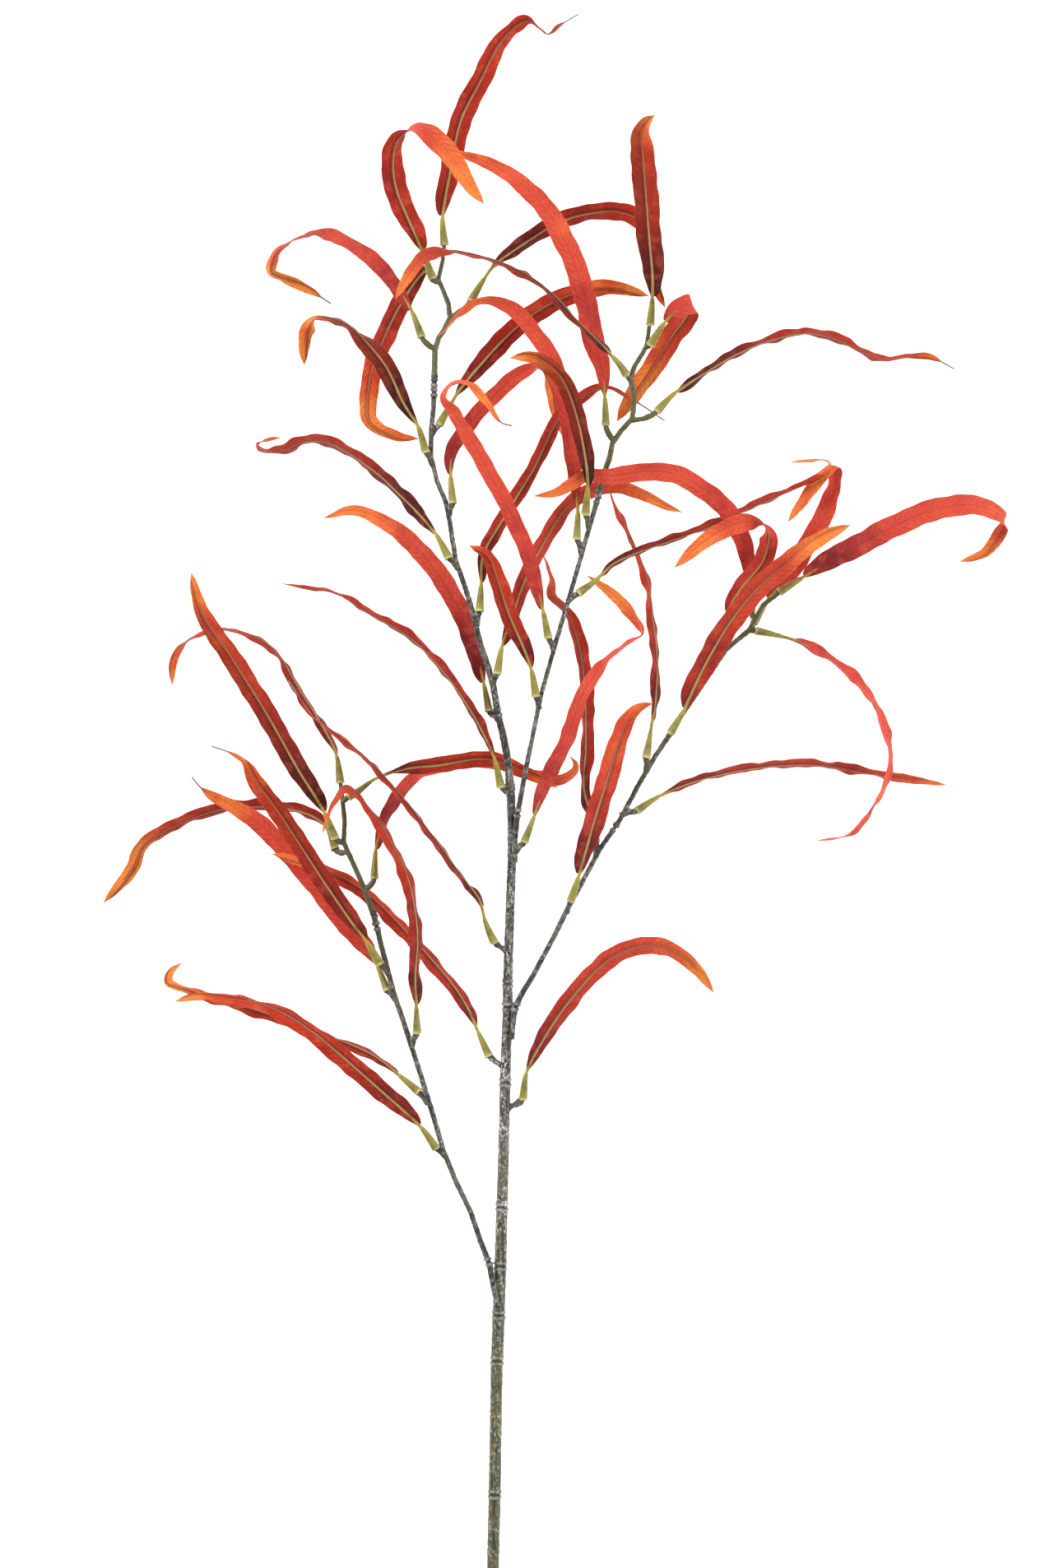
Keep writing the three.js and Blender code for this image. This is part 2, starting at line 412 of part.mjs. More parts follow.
/** A closed body through rings of points. Strips named in crossed are split the other way. */
function loft(rings, crossed = []) {
  const sides = rings[0].length;
  const positions = rings.flat().flatMap((point) => [point.x, point.y, point.z]);
  const index = [];
  for (let i = 0; i + 1 < rings.length; i++) {
    for (let j = 0; j < sides; j++) {
      const next = (j + 1) % sides;
      const [a, b] = [i * sides + j, i * sides + next];
      const [d, c] = [a + sides, b + sides];
      index.push(...(crossed.includes(j) ? [a, b, d, b, c, d] : [a, b, c, a, c, d]));
    }
  }
  const last = (rings.length - 1) * sides;
  for (let j = 1; j + 1 < sides; j++) {
    index.push(0, j + 1, j, last, last + j, last + j + 1);
  }
  const geometry = new THREE.BufferGeometry();
  geometry.setAttribute("position", new THREE.Float32BufferAttribute(positions, 3));
  geometry.setIndex(index);
  return geometry;
}

/** A round ring with its first point on the face direction. */
function circle(place, radius, sides) {
  return Array.from({ length: sides }, (_, j) => {
    const angle = (2 * Math.PI * j) / sides;
    return place.point.clone()
      .addScaledVector(place.face, radius * Math.cos(angle))
      .addScaledVector(place.side, radius * Math.sin(angle));
  });
}

/** A stem along its centreline, with its collars as low rings. */
function stemBody({ line, sides, collars }) {
  const path = trace(line);
  carryUpright(path);
  const stops = line.map((station, i) => ({ distance: path[i * LINE_STEPS].distance, radius: station[3] }));
  const radiusAt = (distance) => {
    const found = stops.findIndex((stop) => stop.distance >= distance);
    const i = THREE.MathUtils.clamp(found, 1, stops.length - 1);
    const share = (distance - stops[i - 1].distance) / (stops[i].distance - stops[i - 1].distance);
    return THREE.MathUtils.lerp(stops[i - 1].radius, stops[i].radius, share);
  };
  const ridges = collars.map((y) => path.find((here) => here.point.y + SPRAY_MIDDLE.y >= y).distance);
  const clear = stops.filter((stop, i) => i === 0 || i === stops.length - 1
    || ridges.every((ridge) => Math.abs(ridge - stop.distance) > 2 * COLLAR_HALF));
  const rings = clear.map((stop) => [stop.distance, stop.radius]);
  for (const ridge of ridges) {
    for (const [shift, swell] of [[-COLLAR_HALF, 0], [0, COLLAR_SWELL], [COLLAR_HALF, 0]]) {
      rings.push([ridge + shift, radiusAt(ridge + shift) + swell]);
    }
  }
  rings.sort((a, b) => a[0] - b[0]);
  const circles = rings.map(([distance, radius]) => circle(at(path, distance), radius, sides));
  return { path, geometry: loft(circles) };
}

/** The short spur that carries a leaf's sleeve, from inside its stem to just short of the mouth. */
function stub(stemPath, leafPath) {
  const mouth = leafPath[0];
  const end = mouth.point.clone().addScaledVector(mouth.along, -GAP);
  const nearest = stemPath.reduce((best, here) =>
    here.point.distanceTo(end) < best.point.distanceTo(end) ? here : best);
  const reach = nearest.point.distanceTo(end);
  const back = Math.min(reach / 2, nearest.distance);
  const root = at(stemPath, nearest.distance - back).point;
  const bend = end.clone().addScaledVector(mouth.along, -reach / 2);
  const curve = new THREE.QuadraticBezierCurve3(root, bend, end);
  const path = STUB_STOPS.map((t) => ({ point: curve.getPoint(t), along: curve.getTangent(t), share: t }));
  carryUpright(path);
  return loft(path.map((here) => {
    const place = { ...here, face: here.up, side: here.along.clone().cross(here.up) };
    return circle(place, THREE.MathUtils.lerp(STUB_ROOT, STUB_END, here.share), STUB_SIDES);
  }));
}

/** How sharply a leaf bends toward its right edge near one distance, per millimetre. */
function bendToRight(path, distance) {
  const turn = at(path, distance + BEND_REACH).along.sub(at(path, distance - BEND_REACH).along);
  return turn.dot(at(path, distance).side) / (2 * BEND_REACH);
}

/** Half the blade's width at a share of its length: a quick rise, then a long taper. */
function bladeShape(share) {
  const rise = Math.sin((Math.PI / 2) * Math.min(1, share / RISE_SHARE)) ** RISE_POWER;
  const taper = Math.max(0, (share - TAPER_FROM) / (1 - TAPER_FROM)) ** TAPER_BEND;
  return rise * (1 - taper) ** TAPER_POWER;
}

/** One ring of a leaf: rib, right edge above and below, middle below, left edge below and above. */
function leafRing(place, { right, left, lift, keel, middle, edge, rib }) {
  const point = (across, out) =>
    place.point.clone().addScaledVector(place.side, across).addScaledVector(place.face, out);
  return [
    point(0, middle + rib), point(right, lift - keel + edge), point(right, lift - keel - edge),
    point(0, -middle), point(-left, -lift - keel - edge), point(-left, -lift - keel + edge),
  ];
}

function roundRing(place, radius) {
  const across = radius * Math.cos(Math.PI / 6);
  const sizes = { right: across, left: across, lift: 0, keel: 0, middle: radius, edge: radius / 2, rib: 0 };
  return leafRing(place, sizes);
}

/** Where a leaf reaches the surface it lies flat on it, its full thickness above. */
function layDown(ring) {
  for (const [one, other] of [[0, 3], [1, 2], [5, 4]]) {
    const [low, high] = ring[one].z < ring[other].z ? [ring[one], ring[other]] : [ring[other], ring[one]];
    low.z = Math.max(low.z, 0);
    high.z = Math.max(high.z, BLADE);
  }
  return ring;
}

/** Distances along the blade for its rings, closer together where the leaf bends or twists. */
function bladeStops(path, from, to) {
  const stops = [from];
  let since = 0;
  for (let i = 1; i < path.length; i++) {
    const [a, b] = [path[i - 1], path[i]];
    if (b.distance <= from || b.distance >= to) continue;
    const bend = THREE.MathUtils.radToDeg(a.along.angleTo(b.along) + a.side.angleTo(b.side));
    since += (b.distance - a.distance) / RING_STEP + bend / RING_TURN;
    if (since >= 1 && to - b.distance > LAST_STEP) {
      stops.push(b.distance);
      since = 0;
    }
  }
  return [...stops, to];
}

/** One leaf: plastic sleeve, bare stalk, waved blade with a raised rib, and its wire if it shows. */
function leafBody({ wide, line, stalk = STALK_LENGTH, wire = 0 }, number) {
  const path = trace(line);
  face(path, line);
  const length = path.at(-1).distance;
  const bladeStart = SLEEVE_LENGTH + stalk;
  const bladeEnd = length - wire;
  const rings = [
    roundRing(at(path, 0), SLEEVE_MOUTH),
    roundRing(at(path, SLEEVE_WAIST_AT), SLEEVE_WAIST),
    roundRing(at(path, SLEEVE_LENGTH), SLEEVE_NECK),
  ];
  if (stalk > LONG_STALK) rings.push(roundRing(at(path, SLEEVE_LENGTH + STALK_LENGTH), STALK));
  const stops = bladeStops(path, bladeStart, bladeEnd);
  stops.forEach((stop) => {
    const share = (stop - bladeStart) / (bladeEnd - bladeStart);
    const half = Math.max(0.5 * wide * bladeShape(share), STALK);
    const keel = KEEL * (half - STALK);
    const swing = Math.sin((2 * Math.PI * stop) / WAVE_LENGTH + WAVE_SHIFT * number);
    const calm = Math.min(1, half / CALM_WIDTH);
    const bend = bendToRight(path, stop);
    rings.push(layDown(leafRing(at(path, stop), {
      right: Math.min(half * (1 + EDGE_WAVE * swing), BEND_ROOM / Math.max(bend, 0.01)),
      left: Math.min(half * (1 - EDGE_WAVE * swing), BEND_ROOM / Math.max(-bend, 0.01)),
      lift: calm * WAVE * swing,
      keel,
      middle: BLADE / 2,
      edge: BLADE / 2,
      rib: RIB_PROUD * (1 - RIB_FADE * share),
    })));
  });
  if (wire) {
    rings.pop();
    rings.push(roundRing(at(path, bladeEnd), WIRE), roundRing(at(path, length), WIRE));
    rings.slice(-2).forEach(layDown);
  }
  return { path, geometry: loft(rings, [2, 3]) };
}

/** A merged closed mesh as a solid that can be joined to others. */
function toSolid(geometry) {
  const merged = mergeVertices(geometry, 1e-4);
  return new wasm.Manifold(new wasm.Mesh({
    numProp: 3,
    vertProperties: Float32Array.from(merged.attributes.position.array),
    triVerts: Uint32Array.from(merged.index.array),
  }));
}

function toGeometry(solid) {
  const { vertProperties, triVerts } = solid.getMesh();
  const geometry = new THREE.BufferGeometry();
  geometry.setAttribute("position", new THREE.Float32BufferAttribute(vertProperties, 3));
  geometry.setIndex(Array.from(triVerts));
  return geometry;
}

function piece(name, geometry, finish) {
  geometry.computeVertexNormals();
  const mesh = new THREE.Mesh(geometry, FINISHES[finish]);
  mesh.name = name;
  return mesh;
}

const spray = new THREE.Group();
const leaves = LEAVES.map((leaf, i) => ({ ...leafBody(leaf, i), on: leaf.on }));
leaves.forEach(({ geometry }, i) => {
  spray.add(piece(`leaf_${String(i + 1).padStart(2, "0")}`, geometry, "leaf"));
});
for (const [name, stem] of Object.entries(STEMS)) {
  const body = stemBody(stem);
  let solid = toSolid(body.geometry);
  for (const leaf of leaves.filter(({ on }) => on === name)) {
    const endOnStem = leaf.path[0].point.distanceTo(body.path.at(-1).point) < JOINT_REACH;
    if (!endOnStem) solid = solid.add(toSolid(stub(body.path, leaf.path)));
  }
  spray.add(piece(name, toGeometry(solid), stem.finish));
}

export default spray;
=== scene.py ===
"""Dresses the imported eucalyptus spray: cloth blades, moulded ribs and sleeves, wires and bark.

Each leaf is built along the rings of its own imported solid, and each stem over its solid's surface.
Lengths are metres, and a name that ends in _mm holds millimetres. The spray points along +Y and
lies on the surface z = 0. Numbers in a row of the drawing are millimetres from the cut end.
"""

from __future__ import annotations

import itertools
import logging
import math
from collections.abc import Sequence
from dataclasses import dataclass, field
from enum import Enum

import bmesh
import bpy
import numpy as np
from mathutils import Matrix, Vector, noise

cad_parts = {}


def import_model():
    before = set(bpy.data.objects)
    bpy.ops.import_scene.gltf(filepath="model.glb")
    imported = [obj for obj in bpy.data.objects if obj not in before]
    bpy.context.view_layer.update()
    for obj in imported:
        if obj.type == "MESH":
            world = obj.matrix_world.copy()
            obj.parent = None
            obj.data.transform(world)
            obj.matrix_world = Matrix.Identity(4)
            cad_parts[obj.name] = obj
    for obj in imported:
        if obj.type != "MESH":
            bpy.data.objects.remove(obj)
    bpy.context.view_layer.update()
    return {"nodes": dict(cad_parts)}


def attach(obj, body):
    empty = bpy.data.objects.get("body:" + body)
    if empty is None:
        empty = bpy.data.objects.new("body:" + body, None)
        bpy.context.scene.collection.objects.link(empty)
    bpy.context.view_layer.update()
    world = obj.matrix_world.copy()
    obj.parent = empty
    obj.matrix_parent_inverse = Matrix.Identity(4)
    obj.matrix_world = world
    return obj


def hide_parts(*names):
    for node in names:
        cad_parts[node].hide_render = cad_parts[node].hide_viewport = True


LOG = logging.getLogger("spray")
MM = 0.001
SPRAY_MIDDLE_MM = np.array([37.0, 495.0, 0.0])
WELD = 0.00002
RING_SIZE = 6
PAIRINGS = np.array(list(itertools.permutations(range(RING_SIZE))))
FAR_OFF = 1e6

Colour = tuple[float, float, float]
Stops = Sequence[tuple[float, Colour]]


class Slot(Enum):
    """The record's material slots."""

    BARK = "bark"
    TWIG = "twig"
    LEAF = "leaf"
    RIB = "rib"
    SLEEVE = "sleeve"
    WIRE = "wire"


def placed(rows: Sequence[Sequence[float]]) -> np.ndarray:
    """Turns rows of the drawing into places in the spray's own frame.

    Args:
        rows: Rows that start with x, y and z in millimetres from the cut end.

    Returns:
        One place a row, in metres.
    """
    return (np.array([row[:3] for row in rows], float) - SPRAY_MIDDLE_MM) * MM


def unit(vectors: np.ndarray) -> np.ndarray:
    """Scales each vector to length one."""
    return vectors / np.maximum(np.linalg.norm(vectors, axis=-1, keepdims=True), 1e-12)


def smooth_step(low: float, high: float, value: np.ndarray) -> np.ndarray:
    """Rises softly from 0 at low to 1 at high."""
    share = np.clip((value - low) / (high - low), 0, 1)
    return share * share * (3 - 2 * share)


def eased(stops: np.ndarray, values: np.ndarray, at: np.ndarray) -> np.ndarray:
    """Follows values along a smooth curve through all of them.

    Args:
        stops: The distance of each value, rising.
        values: One vector a stop.
        at: The distances wanted, inside the stops.

    Returns:
        One vector for each distance wanted.
    """
    slopes = np.gradient(values, stops, axis=0)
    k = np.clip(np.searchsorted(stops, at) - 1, 0, len(stops) - 2)
    gap = (stops[k + 1] - stops[k])[:, None]
    t = (at - stops[k])[:, None] / gap
    start = (2 * t**3 - 3 * t**2 + 1) * values[k] + (t**3 - 2 * t**2 + t) * gap * slopes[k]
    end = (3 * t**2 - 2 * t**3) * values[k + 1] + (t**3 - t**2) * gap * slopes[k + 1]
    return start + end


def ripple(at: np.ndarray, lengths: Sequence[float], seed: int) -> np.ndarray:
    """An uneven wave between about -1 and 1.

    Args:
        at: The distances along it.
        lengths: The wavelengths that it is made of, in the unit of at.
        seed: Which wave, so that no two edges are alike.

    Returns:
        The wave's height at each distance.
    """
    shifts = np.random.default_rng(seed).uniform(0, 2 * math.pi, len(lengths))
    waves = [np.sin(2 * math.pi * at / length + shift) for length, shift in zip(lengths, shifts)]
    return sum(waves) / len(lengths) ** 0.5


def packed_outline(share: np.ndarray) -> np.ndarray:
    """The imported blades' half-width at a share of their length, as a share of its greatest."""
    rise = np.sin(0.5 * math.pi * np.clip(share / 0.25, 0, 1)) ** 0.3
    return rise * tip_outline(share)


def tip_outline(share: np.ndarray, bend: float = 2.6) -> np.ndarray:
    """The taper towards a blade's tip alone, later and blunter with a greater bend."""
    return (1 - np.clip((share - 0.45) / 0.55, 0, 1) ** bend) ** 0.6


class NodeBench:
    """Builds one material's nodes."""

    def __init__(self, name: str) -> None:
        """Starts a material with one plain shader."""
        self.material = bpy.data.materials.new(name)
        self.material.use_nodes = True
        self.tree = self.material.node_tree
        self.shader = self.tree.nodes["Principled BSDF"]

    def feed(self, socket: bpy.types.NodeSocket, value: object) -> None:
        """Joins a socket to another, or gives it a value."""
        if isinstance(value, bpy.types.NodeSocket):
            self.tree.links.new(value, socket)
        else:
            socket.default_value = value

    def add(self, kind: str, inputs: dict | None = None, **settings: object) -> bpy.types.Node:
        """Adds a node.

        Args:
            kind: The node's type, without the words ShaderNode.
            inputs: Values or sockets for its inputs, by name or number.
            **settings: The node's own properties.

        Returns:
            The node.
        """
        node = self.tree.nodes.new("ShaderNode" + kind)
        for name, value in settings.items():
            setattr(node, name, value)
        for name, value in (inputs or {}).items():
            self.feed(node.inputs[name], value)
        return node

    def finish(self, inputs: dict) -> bpy.types.Material:
        """Feeds the shader and returns the material."""
        for name, value in inputs.items():
            self.feed(self.shader.inputs[name], value)
        return self.material

    def value_of(self, name: str) -> bpy.types.NodeSocket:
        """Reads a number that the mesh carries at each vertex."""
        return self.add("Attribute", attribute_name=name).outputs["Fac"]

    def vector_of(self, name: str) -> bpy.types.NodeSocket:
        """Reads a vector that the mesh carries at each vertex."""
        return self.add("Attribute", attribute_name=name).outputs["Vector"]

    def places(self) -> bpy.types.NodeSocket:
        """Reads the place on the object, in metres."""
        return self.add("TexCoord").outputs["Object"]

    def maths(self, what: str, a: object, b: object = 0.0, clamp: bool = False) -> bpy.types.NodeSocket:
        """Works out one step of arithmetic."""
        return self.add("Math", {0: a, 1: b}, operation=what, use_clamp=clamp).outputs[0]

    def between(self, value: object, low: float, high: float) -> bpy.types.NodeSocket:
        """Rises softly from 0 where value is low to 1 where it is high."""
        inputs = {"Value": value, "From Min": low, "From Max": high}
        return self.add("MapRange", inputs, interpolation_type="SMOOTHSTEP").outputs["Result"]

    def speckle(self, at: object, scale: float, detail: float = 2.0, rough: float = 0.5) -> bpy.types.NodeSocket:
        """Cloudy noise of about scale spots a unit."""
        inputs = {"Vector": at, "Scale": scale, "Detail": detail, "Roughness": rough}
        return self.add("TexNoise", inputs).outputs["Fac"]

    def ramp(self, factor: object, stops: Stops) -> bpy.types.NodeSocket:
        """Looks a number up along a row of colours."""
        node = self.add("ValToRGB", {"Fac": factor})
        elements = node.color_ramp.elements
        while len(elements) < len(stops):
            elements.new(0.5)
        for element, (where, colour) in zip(elements, stops):
            element.position = where
            element.color = tint(colour)
        return node.outputs["Color"]

    def mixed(self, share: object, a: object, b: object, how: str = "MIX") -> bpy.types.NodeSocket:
        """Mixes colour b into colour a by a share."""
        node = self.add("Mix", data_type="RGBA", blend_type=how)
        for number, value in ((0, share), (6, a), (7, b)):
            self.feed(node.inputs[number], value)
        return node.outputs[2]

    def relief(self, height: object, depth_mm: float, under: object = None) -> bpy.types.NodeSocket:
        """Presses a height into the surface's light, over any relief under it."""
        inputs = {"Height": height, "Distance": depth_mm * MM}
        if under is not None:
            inputs["Normal"] = under
        return self.add("Bump", inputs).outputs["Normal"]


def tint(colour: Colour) -> tuple[float, float, float, float]:
    """Turns a colour of 0 to 255 a channel, as a screen shows it, into the shader's light."""
    shares = [channel / 255 for channel in colour]
    light = [s / 12.92 if s <= 0.04045 else ((s + 0.055) / 1.055) ** 2.4 for s in shares]
    return (*light, 1.0)


@dataclass(frozen=True)
class LeafCloth:
    """Printed cloth: dark at the base, red, then orange at the tip, and paler on the smooth side."""

    rib_side: Stops = (
        (0.0, (60, 16, 20)), (0.25, (106, 26, 24)), (0.46, (160, 38, 22)), (0.7, (180, 50, 24)),
        (0.84, (206, 86, 34)), (1.0, (224, 128, 56)),
    )
    smooth_side: Stops = (
        (0.0, (104, 26, 32)), (0.25, (158, 46, 42)), (0.46, (194, 64, 49)), (0.7, (206, 77, 54)),
        (0.84, (222, 102, 56)), (1.0, (236, 130, 60)),
    )
    # Colour of the printed veins and streaks, also used for the painted shade along the smooth side's middle
    # fold.
    vein: Colour = (104, 20, 18)
    rib_shade: Colour = (74, 24, 14)
    bright: Colour = (216, 88, 66)
    fleck: Colour = (255, 190, 150)
    edge: Colour = (206, 108, 74)
    dulled: Colour = (140, 192, 160)
    cloud_per_m: float = 26.0
    mottle_per_m: float = 70.0
    grain_per_m: float = 2600.0
    vein_gap_mm: float = 4.6
    vein_slant: float = 1.25

    def material(self) -> bpy.types.Material:
        """Builds the cloth from the ripeness, side and place that each blade carries."""
        bench = NodeBench("leaf_cloth")
        places = bench.places()
        run, span = bench.value_of("run"), bench.value_of("span")
        cloud = bench.speckle(places, self.cloud_per_m, 2.0, 0.5)
        mottle = bench.speckle(places, self.mottle_per_m, 4.0, 0.65)
        both = bench.maths("ADD", bench.maths("MULTIPLY", cloud, 0.52), bench.maths("MULTIPLY", mottle, 0.46))
        ripe = bench.maths("ADD", bench.value_of("ripe"), bench.maths("SUBTRACT", both, 0.5), clamp=True)
        upper, lower = bench.ramp(ripe, self.rib_side), bench.ramp(ripe, self.smooth_side)
        rib_side = bench.value_of("rib_side")
        colour = bench.mixed(rib_side, lower, upper)

        streak_at = bench.add("CombineXYZ", {
            "X": bench.maths("MULTIPLY", run, 0.045), "Y": bench.maths("MULTIPLY", span, 0.75),
            "Z": bench.value_of("seed"),
        }).outputs[0]
        streak = bench.between(bench.speckle(streak_at, 1.0, 3.0, 0.6), 0.46, 0.74)
        depth = bench.maths("ADD", bench.maths("MULTIPLY", rib_side, 0.14), 0.24)
        colour = bench.mixed(bench.maths("MULTIPLY", streak, depth), colour, tint(self.vein))
        blush = bench.between(bench.speckle(places, 130.0, 3.0, 0.6), 0.48, 0.68)
        colour = bench.mixed(bench.maths("MULTIPLY", blush, 0.3), colour, tint(self.bright))

        out = bench.maths("ABSOLUTE", span)
        slanted = bench.maths("SUBTRACT", run, bench.maths("MULTIPLY", out, self.vein_slant))
        wander = bench.maths("MULTIPLY", bench.speckle(places, 160.0, 1.0), 2.4)
        slanted = bench.maths("ADD", slanted, wander)
        turn = bench.maths("FRACT", bench.maths("DIVIDE", slanted, self.vein_gap_mm))
        ridge = bench.maths("ABSOLUTE", bench.maths("SUBTRACT", turn, 0.5))
        vein = bench.between(ridge, 0.13, 0.0)
        vein = bench.maths("MULTIPLY", vein, bench.between(out, 0.8, 2.2))
        colour = bench.mixed(bench.maths("MULTIPLY", vein, 0.14), colour, tint(self.vein))

        # Painted shade along the smooth side's middle fold, in the vein colour; the same line is also pressed in
        # as a groove below.
        middle = bench.between(out, 0.75, 0.1)
        line = bench.maths("MULTIPLY", middle, bench.maths("SUBTRACT", 1.0, rib_side))
        colour = bench.mixed(bench.maths("MULTIPLY", line, 0.16), colour, tint(self.vein))
        # Painted shade: a dark strip beside the rib and a darker half of the blade on the rib's shaded side.
        shadow_beside_rib = bench.maths("MULTIPLY", bench.value_of("shadow_beside_rib"), rib_side)
        colour = bench.mixed(bench.maths("MULTIPLY", shadow_beside_rib, 0.75), colour, tint(self.rib_shade))

        dull = bench.maths("MULTIPLY", bench.value_of("dull"), bench.between(ripe, 0.98, 0.7))
        colour = bench.mixed(dull, colour, tint(self.dulled), "MULTIPLY")

        specks = bench.between(bench.speckle(places, 1400.0, 1.0), 0.76, 0.8)
        colour = bench.mixed(bench.maths("MULTIPLY", specks, 0.3), colour, tint(self.fleck))
        rim = bench.between(bench.value_of("across"), 0.955, 1.0)
        colour = bench.mixed(bench.maths("MULTIPLY", rim, 0.35), colour, tint(self.edge))

        grain = bench.speckle(places, self.grain_per_m, 1.0)
        crinkle = bench.speckle(places, 210.0, 3.0, 0.6)
        bump = bench.relief(crinkle, 1.1)
        bump = bench.relief(bench.maths("SUBTRACT", 1.0, bench.maths("MAXIMUM", vein, line)), 0.22, bump)
        bump = bench.relief(grain, 0.09, bump)
        gloss = bench.maths("ADD", bench.maths("MULTIPLY", crinkle, 0.22), 0.5)
        return bench.finish({
            "Base Color": colour, "Roughness": gloss, "Normal": bump,
            "Specular IOR Level": 0.14, "Sheen Weight": 0.03, "Sheen Roughness": 0.5,
        })


@dataclass(frozen=True)
class RibPlastic:
    """Tan moulded rib, olive-brown near the stalk and redder towards the tip."""

    # Painted highlight: these colours light the rib's crest, and the foot colours below are its painted shade on
    # the sides.
    lit_crest: Stops = (
        (0.0, (190, 158, 88)), (0.35, (190, 142, 84)), (0.7, (172, 112, 66)), (1.0, (180, 82, 44)),
    )
    foot: Stops = (
        (0.0, (108, 86, 38)), (0.35, (104, 62, 30)), (0.7, (104, 46, 24)), (1.0, (140, 46, 24)),
    )
    # Painted shade along the rib's foot on its shaded side.
    groove: Colour = (56, 34, 18)

    def material(self) -> bpy.types.Material:
        """Builds the rib's plastic with a painted highlight along its crest, painted shade on its feet and
        darker painted shade along one foot.
        """
        bench = NodeBench("rib_plastic")
        places = bench.places()
        cloud = bench.speckle(places, 60.0, 4.0, 0.6)
        along = bench.maths("ADD", bench.value_of("ripe"), bench.maths("MULTIPLY", cloud, 0.5))
        along = bench.maths("SUBTRACT", along, 0.25, clamp=True)
        # Painted highlight along the crest, over the painted shade of the foot colours.
        share = bench.between(bench.value_of("lit_crest"), 0.6, 0.97)
        share = bench.maths("MULTIPLY", share, bench.value_of("pale"))
        colour = bench.mixed(share, bench.ramp(along, self.foot), bench.ramp(along, self.lit_crest))
        # Painted shade: darkens the rib's foot on its shaded side.
        colour = bench.mixed(bench.maths("MULTIPLY", bench.value_of("groove"), 0.8), colour, tint(self.groove))
        fine = bench.speckle(places, 900.0, 2.0)
        colour = bench.mixed(bench.maths("MULTIPLY", fine, 0.2), colour, tint((84, 56, 32)))
        bump = bench.relief(bench.speckle(places, 420.0, 2.0), 0.2)
        gloss = bench.maths("ADD", bench.maths("MULTIPLY", fine, 0.2), 0.36)
        return bench.finish({
            "Base Color": colour, "Roughness": gloss, "Normal": bump, "Specular IOR Level": 0.35,
        })


@dataclass(frozen=True)
class SleevePlastic:
    """Olive and yellow-green moulded sleeve with a pale thin mouth and a yellower stalk."""

    body: Stops = (
        (0.0, (186, 180, 118)), (0.04, (142, 134, 64)), (0.3, (130, 124, 50)), (0.62, (148, 138, 56)),
        (0.8, (164, 144, 54)), (1.0, (154, 120, 48)),
    )
    shade: Colour = (74, 66, 26)
    ridge: Colour = (190, 184, 120)

    def material(self) -> bpy.types.Material:
        """Builds the sleeve's plastic along its length, with a pale mould line on each side."""
        bench = NodeBench("sleeve_plastic")
        places = bench.places()
        colour = bench.ramp(bench.value_of("reach"), self.body)
        cloud = bench.between(bench.speckle(places, 170.0, 4.0, 0.65), 0.46, 0.66)
        colour = bench.mixed(bench.maths("MULTIPLY", cloud, 0.55), colour, tint(self.shade))
        colour = bench.mixed(bench.maths("MULTIPLY", bench.value_of("seam"), 0.6), colour, tint(self.ridge))
        fine = bench.speckle(places, 1100.0, 2.0)
        bump = bench.relief(bench.speckle(places, 380.0, 3.0), 0.35)
        gloss = bench.maths("ADD", bench.maths("MULTIPLY", fine, 0.2), 0.34)
        return bench.finish({
            "Base Color": colour, "Roughness": gloss, "Normal": bump, "Specular IOR Level": 0.35,
            "Subsurface Weight": 0.05, "Subsurface Scale": 0.001,
        })


@dataclass(frozen=True)
class WireMetal:
    """Dull grey wire, bare past a leaf's tip."""

    dull: Colour = (92, 88, 82)
    bright: Colour = (150, 146, 138)

    def material(self) -> bpy.types.Material:
        """Builds the wire's metal with drawn streaks and dull spots."""
        bench = NodeBench("wire_metal")
        cloud = bench.speckle(bench.places(), 700.0, 3.0)
        colour = bench.mixed(cloud, tint(self.dull), tint(self.bright))
        gloss = bench.maths("ADD", bench.maths("MULTIPLY", cloud, 0.3), 0.3)
        bump = bench.relief(cloud, 0.05)
        return bench.finish({
            "Base Color": colour, "Roughness": gloss, "Normal": bump, "Metallic": 0.85,
        })


